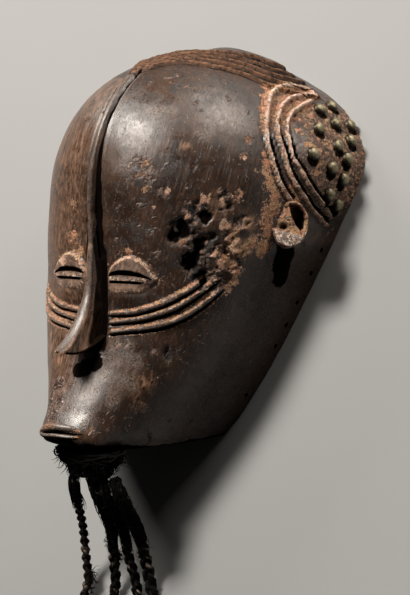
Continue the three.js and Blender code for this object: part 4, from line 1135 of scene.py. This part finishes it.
class Nodes:
    """Short ways to add nodes to a material. Sockets come in and go out."""

    def __init__(self, tree):
        self.tree = tree
        self.place = self.add("ShaderNodeTexCoord").outputs["Object"]

    def add(self, kind, **settings):
        node = self.tree.nodes.new(kind)
        for key, value in settings.items():
            setattr(node, key, value)
        return node

    def put(self, socket, value):
        if isinstance(value, bpy.types.NodeSocket):
            self.tree.links.new(value, socket)
        elif hasattr(value, "__len__") and len(value) == 3 and len(socket.default_value) == 4:
            socket.default_value = (*value, 1)
        else:
            socket.default_value = value

    def mark(self, name):
        return self.add("ShaderNodeAttribute", attribute_name=name).outputs["Fac"]

    def stretched(self, scale, shift=(0, 0, 0)):
        node = self.add("ShaderNodeMapping")
        self.put(node.inputs["Vector"], self.place)
        node.inputs["Scale"].default_value = scale
        node.inputs["Location"].default_value = shift
        return node.outputs["Vector"]

    def noise(self, vector, scale=1.0, detail=4.0, rough=0.55, distortion=0.0):
        node = self.add("ShaderNodeTexNoise")
        self.put(node.inputs["Vector"], vector)
        settings = {"Scale": scale, "Detail": detail, "Roughness": rough, "Distortion": distortion}
        for key, value in settings.items():
            node.inputs[key].default_value = value
        return node.outputs["Fac"]

    def cells(self, vector, scale):
        node = self.add("ShaderNodeTexVoronoi")
        self.put(node.inputs["Vector"], vector)
        node.inputs["Scale"].default_value = scale
        return node.outputs["Distance"]

    def math(self, operation, a, b):
        node = self.add("ShaderNodeMath", operation=operation)
        self.put(node.inputs[0], a)
        self.put(node.inputs[1], b)
        return node.outputs[0]

    def times(self, a, b):
        return self.math("MULTIPLY", a, b)

    def plus(self, a, b):
        return self.math("ADD", a, b)

    def most(self, a, b):
        return self.math("MAXIMUM", a, b)

    def step(self, value, low, high, to_low=0.0, to_high=1.0):
        """A smooth step from to_low, where the value is low, to to_high, where it is high."""
        node = self.add("ShaderNodeMapRange", interpolation_type="SMOOTHSTEP")
        keys = ("Value", "From Min", "From Max", "To Min", "To Max")
        for key, item in zip(keys, (value, low, high, to_low, to_high)):
            self.put(node.inputs[key], item)
        return node.outputs["Result"]

    def blend(self, share, a, b):
        """The colour a, or b where the share is 1."""
        node = self.add("ShaderNodeMix", data_type="RGBA")
        self.put(node.inputs["Factor"], share)
        self.put(node.inputs[6], a)
        self.put(node.inputs[7], b)
        return node.outputs[2]

    def bump(self, height, depth, strength, below=None):
        node = self.add("ShaderNodeBump")
        self.put(node.inputs["Height"], height)
        node.inputs["Distance"].default_value = depth
        node.inputs["Strength"].default_value = strength
        if below is not None:
            self.tree.links.new(below, node.inputs["Normal"])
        return node.outputs["Normal"]


def material(name, roughness=0.5, metallic=0.0):
    made = bpy.data.materials.new(name)
    made.use_nodes = True
    tree = made.node_tree
    shader = tree.nodes["Principled BSDF"]
    shader.inputs["Roughness"].default_value = roughness
    shader.inputs["Metallic"].default_value = metallic
    return made, Nodes(tree), shader


def wood_material():
    made, n, shader = material("old_wood")
    place = n.stretched(MILLIMETRES)
    broad = n.noise(place, 0.035, 3)
    mottle = n.noise(place, 0.16, 5, 0.62, 0.6)
    patch = n.noise(place, 0.42, 5, 0.72, 0.8)
    speck = n.noise(place, 0.8, 4, 0.7)
    fine = n.noise(place, 2.4, 3, 0.7)
    grain = n.noise(n.stretched((620, 42, 620)), 1, 4, 0.65, 0.35)
    fibre = n.noise(n.stretched((1700, 90, 1700)), 1, 3, 0.6)
    crust, dark, pale, eroded, red, nicked, inside, rib = (n.mark(name) for name in MARKS)
    # Faces inside cuts are painted black, as the shade in them
    dark = n.most(dark, n.mark("cut"))

    # Smoked brown wood with its grain, redder where it is worn, and greyer where handling has dulled it and
    # where highlights are painted
    colour = n.blend(n.step(broad, 0.35, 0.65), (0.013, 0.0062, 0.0038), (0.036, 0.018, 0.0102))
    colour = n.blend(n.step(mottle, 0.45, 0.68, 0, 0.9), colour, (0.007, 0.0045, 0.0035))
    colour = n.blend(n.step(grain, 0.5, 0.72, 0, 0.6), colour, (0.075, 0.037, 0.02))
    colour = n.blend(n.step(fibre, 0.55, 0.75, 0, 0.45), colour, (0.008, 0.005, 0.004))
    worn = n.times(red, n.step(n.plus(n.times(mottle, 0.6), grain), 0.62, 1.02))
    colour = n.blend(n.times(worn, 0.9), colour, (0.27, 0.145, 0.085))
    dulled_and_sheen = n.times(pale, n.step(speck, 0.36, 0.62))
    colour = n.blend(n.times(dulled_and_sheen, 0.75), colour, (0.15, 0.115, 0.095))
    streak = n.noise(n.stretched((60, 480, 480)), 1, 4, 0.6)
    hair = n.step(rib, 3.4, 5, 1, 0)
    lit = n.times(n.step(rib, 0.4, 1.9, 1, 0.12), n.step(streak, 0.38, 0.6, 0.05, 1))
    lit = n.times(hair, lit)
    colour = n.blend(n.times(lit, 0.85), colour, (0.13, 0.06, 0.03))
    flecks = n.step(n.noise(place, 0.5, 4, 0.8, 1.5), 0.665, 0.71)
    colour = n.blend(n.times(flecks, 0.6), colour, (0.25, 0.14, 0.085))
    scratch = n.step(n.noise(n.stretched((420, 60, 420), (3, 9, 1)), 1, 2, 0.4, 2.5), 0.69, 0.73)
    colour = n.blend(n.times(scratch, 0.3), colour, (0.2, 0.15, 0.12))
    # Painted shade in the hollows of the blade's nicks and painted highlights on their facets
    chatter = n.noise(n.stretched((300, 520, 300)), 1, 4, 0.7, 1.6)
    colour = n.blend(n.times(nicked, n.step(chatter, 0.46, 0.52, 0.95, 0)), colour, (0.014, 0.005, 0.003))
    colour = n.blend(n.times(nicked, n.step(chatter, 0.54, 0.6, 0, 0.8)), colour, (0.36, 0.25, 0.2))

    # Pink and ochre crust that the recesses hold
    held = n.plus(crust, n.step(patch, 0.3, 0.7, -0.6, 0.4))
    clot = n.step(n.plus(held, n.step(speck, 0.3, 0.7, -0.25, 0.2)), 0.3, 0.6)
    earth = n.blend(n.step(n.noise(place, 0.12, 3), 0.42, 0.6), (0.7, 0.31, 0.15), (0.68, 0.4, 0.175))
    earth = n.blend(n.step(patch, 0.5, 0.75), earth, (0.85, 0.58, 0.42))
    earth = n.blend(n.step(fine, 0.42, 0.62), (0.1, 0.036, 0.018), earth)
    earth = n.blend(n.step(n.noise(place, 0.3, 4, 0.7, 1), 0.32, 0.46), (0.05, 0.022, 0.012), earth)
    # Paler crust where highlights are painted
    earth = n.blend(n.times(pale, n.step(mottle, 0.35, 0.6, 0.2, 0.8)), earth, (0.72, 0.55, 0.46))
    colour = n.blend(n.times(clot, 0.9), colour, earth)

    # Crumbled wood with black in its depths; black also paints the shade and shadow that the dark mark holds
    raw = n.blend(n.step(speck, 0.4, 0.6), (0.02, 0.01, 0.007), (0.3, 0.17, 0.115))
    raw = n.blend(n.step(mottle, 0.52, 0.68), raw, (0.34, 0.15, 0.065))
    raw = n.blend(n.step(n.noise(place, 0.17, 4, 0.6, 0.8), 0.45, 0.53), raw, (0.005, 0.004, 0.004))
    colour = n.blend(n.times(eroded, 0.92), colour, raw)
    # Painted shade in the channels between the bands of hair
    between = n.times(n.step(rib, 1.4, 2.4), n.step(rib, 2.6, 3.6, 1, 0))
    dark = n.most(dark, n.times(between, n.step(streak, 0.36, 0.6, 0.95, 0.55)))
    black = n.times(n.step(n.plus(dark, n.times(speck, 0.3)), 0.4, 0.9), 0.95)
    colour = n.blend(black, colour, (0.001, 0.0008, 0.0008))
    pocks = n.step(n.cells(place, 0.42), 0.16, 0.09)
    pocks = n.times(pocks, n.step(n.noise(place, 0.09, 2), 0.52, 0.58))
    colour = n.blend(pocks, colour, (0.004, 0.003, 0.003))

    # The hollow, which is bare, dry and paler
    bare = n.blend(n.step(grain, 0.4, 0.65), (0.075, 0.046, 0.03), (0.13, 0.085, 0.055))
    bare = n.blend(n.step(broad, 0.45, 0.65, 0, 0.6), bare, (0.05, 0.03, 0.02))
    colour = n.blend(inside, colour, bare)
    n.put(shader.inputs["Base Color"], colour)

    # Old polish, broken by grain, scratches, crust and crumbled wood
    gloss = n.step(mottle, 0.3, 0.7, 0.3, 0.48)
    gloss = n.plus(gloss, n.step(grain, 0.5, 0.72, -0.04, 0.12))
    gloss = n.plus(gloss, n.times(dulled_and_sheen, 0.05))
    matt = n.most(n.times(clot, 0.75), n.most(eroded, n.times(inside, 0.9)))
    matt = n.most(matt, n.most(black, n.times(hair, 0.7)))
    n.put(shader.inputs["Roughness"], n.step(matt, 0, 1, gloss, 0.86))
    dull = n.most(black, n.times(hair, 0.6))
    n.put(shader.inputs["Specular IOR Level"], n.step(dull, 0, 1, 0.5, 0))

    normal = n.bump(n.plus(n.times(fibre, 0.6), grain), 0.0002, 0.6)
    normal = n.bump(n.plus(n.times(scratch, 0.5), n.times(pocks, -2.0)), 0.00025, 0.6, normal)
    normal = n.bump(n.times(nicked, n.step(chatter, 0.42, 0.6)), 0.0009, 0.9, normal)
    grit = n.times(n.noise(place, 1.2, 6, 0.78), n.plus(n.most(clot, eroded), 0.12))
    n.put(shader.inputs["Normal"], n.bump(grit, 0.0014, 0.9, normal))
    return made


def brass_material():
    made, n, shader = material("aged_brass", metallic=0.7)
    place = n.stretched(MILLIMETRES)
    worn, tarnish = n.mark("worn"), n.noise(place, 0.6, 4, 0.65)
    # Bright on top where it is worn, and dark on the low skirt, which is painted shade
    bright = n.times(worn, n.step(tarnish, 0.3, 0.65))
    colour = n.blend(bright, (0.07, 0.055, 0.028), (0.3, 0.265, 0.17))
    colour = n.blend(n.step(worn, 0.0, 0.45, 0.92, 0), colour, (0.018, 0.012, 0.007))
    colour = n.blend(n.step(n.noise(place, 1.4, 3), 0.62, 0.7, 0, 0.5), colour, (0.03, 0.035, 0.016))
    n.put(shader.inputs["Base Color"], colour)
    n.put(shader.inputs["Roughness"], n.step(tarnish, 0.3, 0.7, 0.3, 0.52))
    n.put(shader.inputs["Normal"], n.bump(n.noise(place, 1.6, 4, 0.7), 0.00022, 0.7))
    return made


def fibre_material():
    made, n, shader = material("black_fibre", roughness=0.82)
    place = n.stretched(MILLIMETRES)
    shade = n.mark("shade")
    colour = n.blend(n.step(shade, 0.3, 1.0, 0, 0.7), (0.0014, 0.0012, 0.0011), (0.0075, 0.0056, 0.0048))
    dusty = n.times(n.step(n.noise(place, 0.11, 3, 0.6), 0.54, 0.68), n.step(shade, 0.45, 0.9))
    colour = n.blend(n.times(dusty, 0.6), colour, (0.2, 0.15, 0.115))
    n.put(shader.inputs["Base Color"], colour)
    n.put(shader.inputs["Roughness"], n.step(n.noise(place, 1.2, 3), 0.3, 0.7, 0.8, 1))
    shader.inputs["Specular IOR Level"].default_value = 0.05
    n.put(shader.inputs["Normal"], n.bump(n.noise(place, 3.2, 3, 0.7), 0.0002, 0.7))
    return made


def floor_material():
    made, n, shader = material("pale_floor", roughness=0.9)
    tone = n.noise(n.place, 6, 2)
    n.put(shader.inputs["Base Color"], n.blend(tone, (0.17, 0.17, 0.17), (0.182, 0.182, 0.18)))
    return made


# The camera, at the photograph's place

CAMERA = {"place": (1.03612, -0.34066, 1.31243), "lens": 150, "right": (0.78801, 0.26989, -0.55335),
          "up": (-0.10161, 0.94348, 0.31546), "back": (0.60722, -0.19236, 0.77090)}
camera = bpy.data.objects.new("camera", bpy.data.cameras.new("camera"))
camera.data.lens = CAMERA["lens"]
camera.data.sensor_width = 36
camera.data.clip_end = 20
turned = Matrix([CAMERA["right"], CAMERA["up"], CAMERA["back"]]).transposed().to_4x4()
camera.matrix_world = Matrix.Translation(CAMERA["place"]) @ turned
bpy.context.scene.collection.objects.link(camera)
bpy.context.scene.camera = camera

WOOD, BRASS, FIBRE = wood_material(), brass_material(), fibre_material()


def finish_piece(piece, look, slot_name, *nodes):
    piece.data.materials.clear()
    piece.data.materials.append(look)
    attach(piece, "root")
    if nodes:
        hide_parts(*nodes)


# The beard

for k, row in enumerate(PLAITS):
    name, width, rng = row["name"], row["width"], np.random.default_rng(11 + k)
    path, length = centripetal(row["route"], 260)
    body = braid(name + "_braid", path, width, length, row["dust"], rng)
    fuzz = loose_fibres(name + "_fibres", path, width, row["dust"], row["tufts"], rng)
    tuft = frayed_end(name + "_tuft", path, width, rng)
    path, length = metres(path), length / 1000
    finish_piece(body, FIBRE, "fibre", name)
    finish_piece(fuzz, FIBRE, "fibre")
    finish_piece(tuft, FIBRE, "fibre", name + "_knot")

wound, core = tie()
finish_piece(wound, FIBRE, "fibre", "beard_tie")
finish_piece(core, FIBRE, "fibre")

# The carving

mask = outer_face()
combine(mask, [lip(**LIPS[0]), lip(**LIPS[1]), nose(), ear(1), ear(-1)], "UNION")
cutters = [hollow(), mouth_slit()]
for side in (1, -1):
    cutters.append(slot_cutter("slit", SLIT_TOP, SLIT_FOOT, side, lambda x, y: SLIT_FLOOR))
    cutters.append(slot_cutter("lid_groove", LID_GROOVE_TOP, LID_GROOVE_FOOT, side, groove_floor))
    cutters += [rim_hole(station, side * RIM_HOLES["lean"]) for station in RIM_HOLES["stations"]]
combine(mask, cutters, "DIFFERENCE")
mask.data.set_sharp_from_angle(angle=math.radians(65))
finish_piece(mask, WOOD, "wood", "mask")

for i, (station, lean) in enumerate(TACKS):
    for word, side in (("left", 1), ("right", -1)):
        name = f"tack_{word}_{i + 1}"
        finish_piece(tack(name + "_head", station, lean * side, 3 * i + side), BRASS, "brass", name)

# The floor and the light

bpy.ops.mesh.primitive_plane_add(size=8, location=(0, 0, -0.0002))
floor = bpy.context.object
floor.name = "floor"
floor.data.materials.append(floor_material())


def softbox(name, direction, distance, size, power, tint=(1, 1, 1)):
    light = bpy.data.lights.new(name, "AREA")
    light.shape, light.size, light.size_y = "RECTANGLE", *size
    light.energy, light.color = power, tint
    lamp = bpy.data.objects.new(name, light)
    aim = Vector(direction).normalized()
    lamp.location = Vector((0, 0, 0.08)) + aim * distance
    lamp.rotation_euler = aim.to_track_quat("Z", "Y").to_euler()
    bpy.context.scene.collection.objects.link(lamp)


softbox("key", (-0.17, 0.42, 0.89), 1.8, (0.48, 0.48), 86, (1, 0.955, 0.89))
softbox("left", (-0.64, 0.58, 0.5), 1.7, (0.4, 0.6), 16, (1, 0.93, 0.85))
softbox("top", (0.4, 0.9, 0.16), 1.6, (0.8, 0.3), 24, (1, 0.93, 0.85))
world = bpy.data.worlds.new("studio")
world.use_nodes = True
world.node_tree.nodes["Background"].inputs["Color"].default_value = (1, 0.96, 0.92, 1)
world.node_tree.nodes["Background"].inputs["Strength"].default_value = 0.03
bpy.context.scene.world = world
bpy.context.scene.view_settings.view_transform = "Standard"
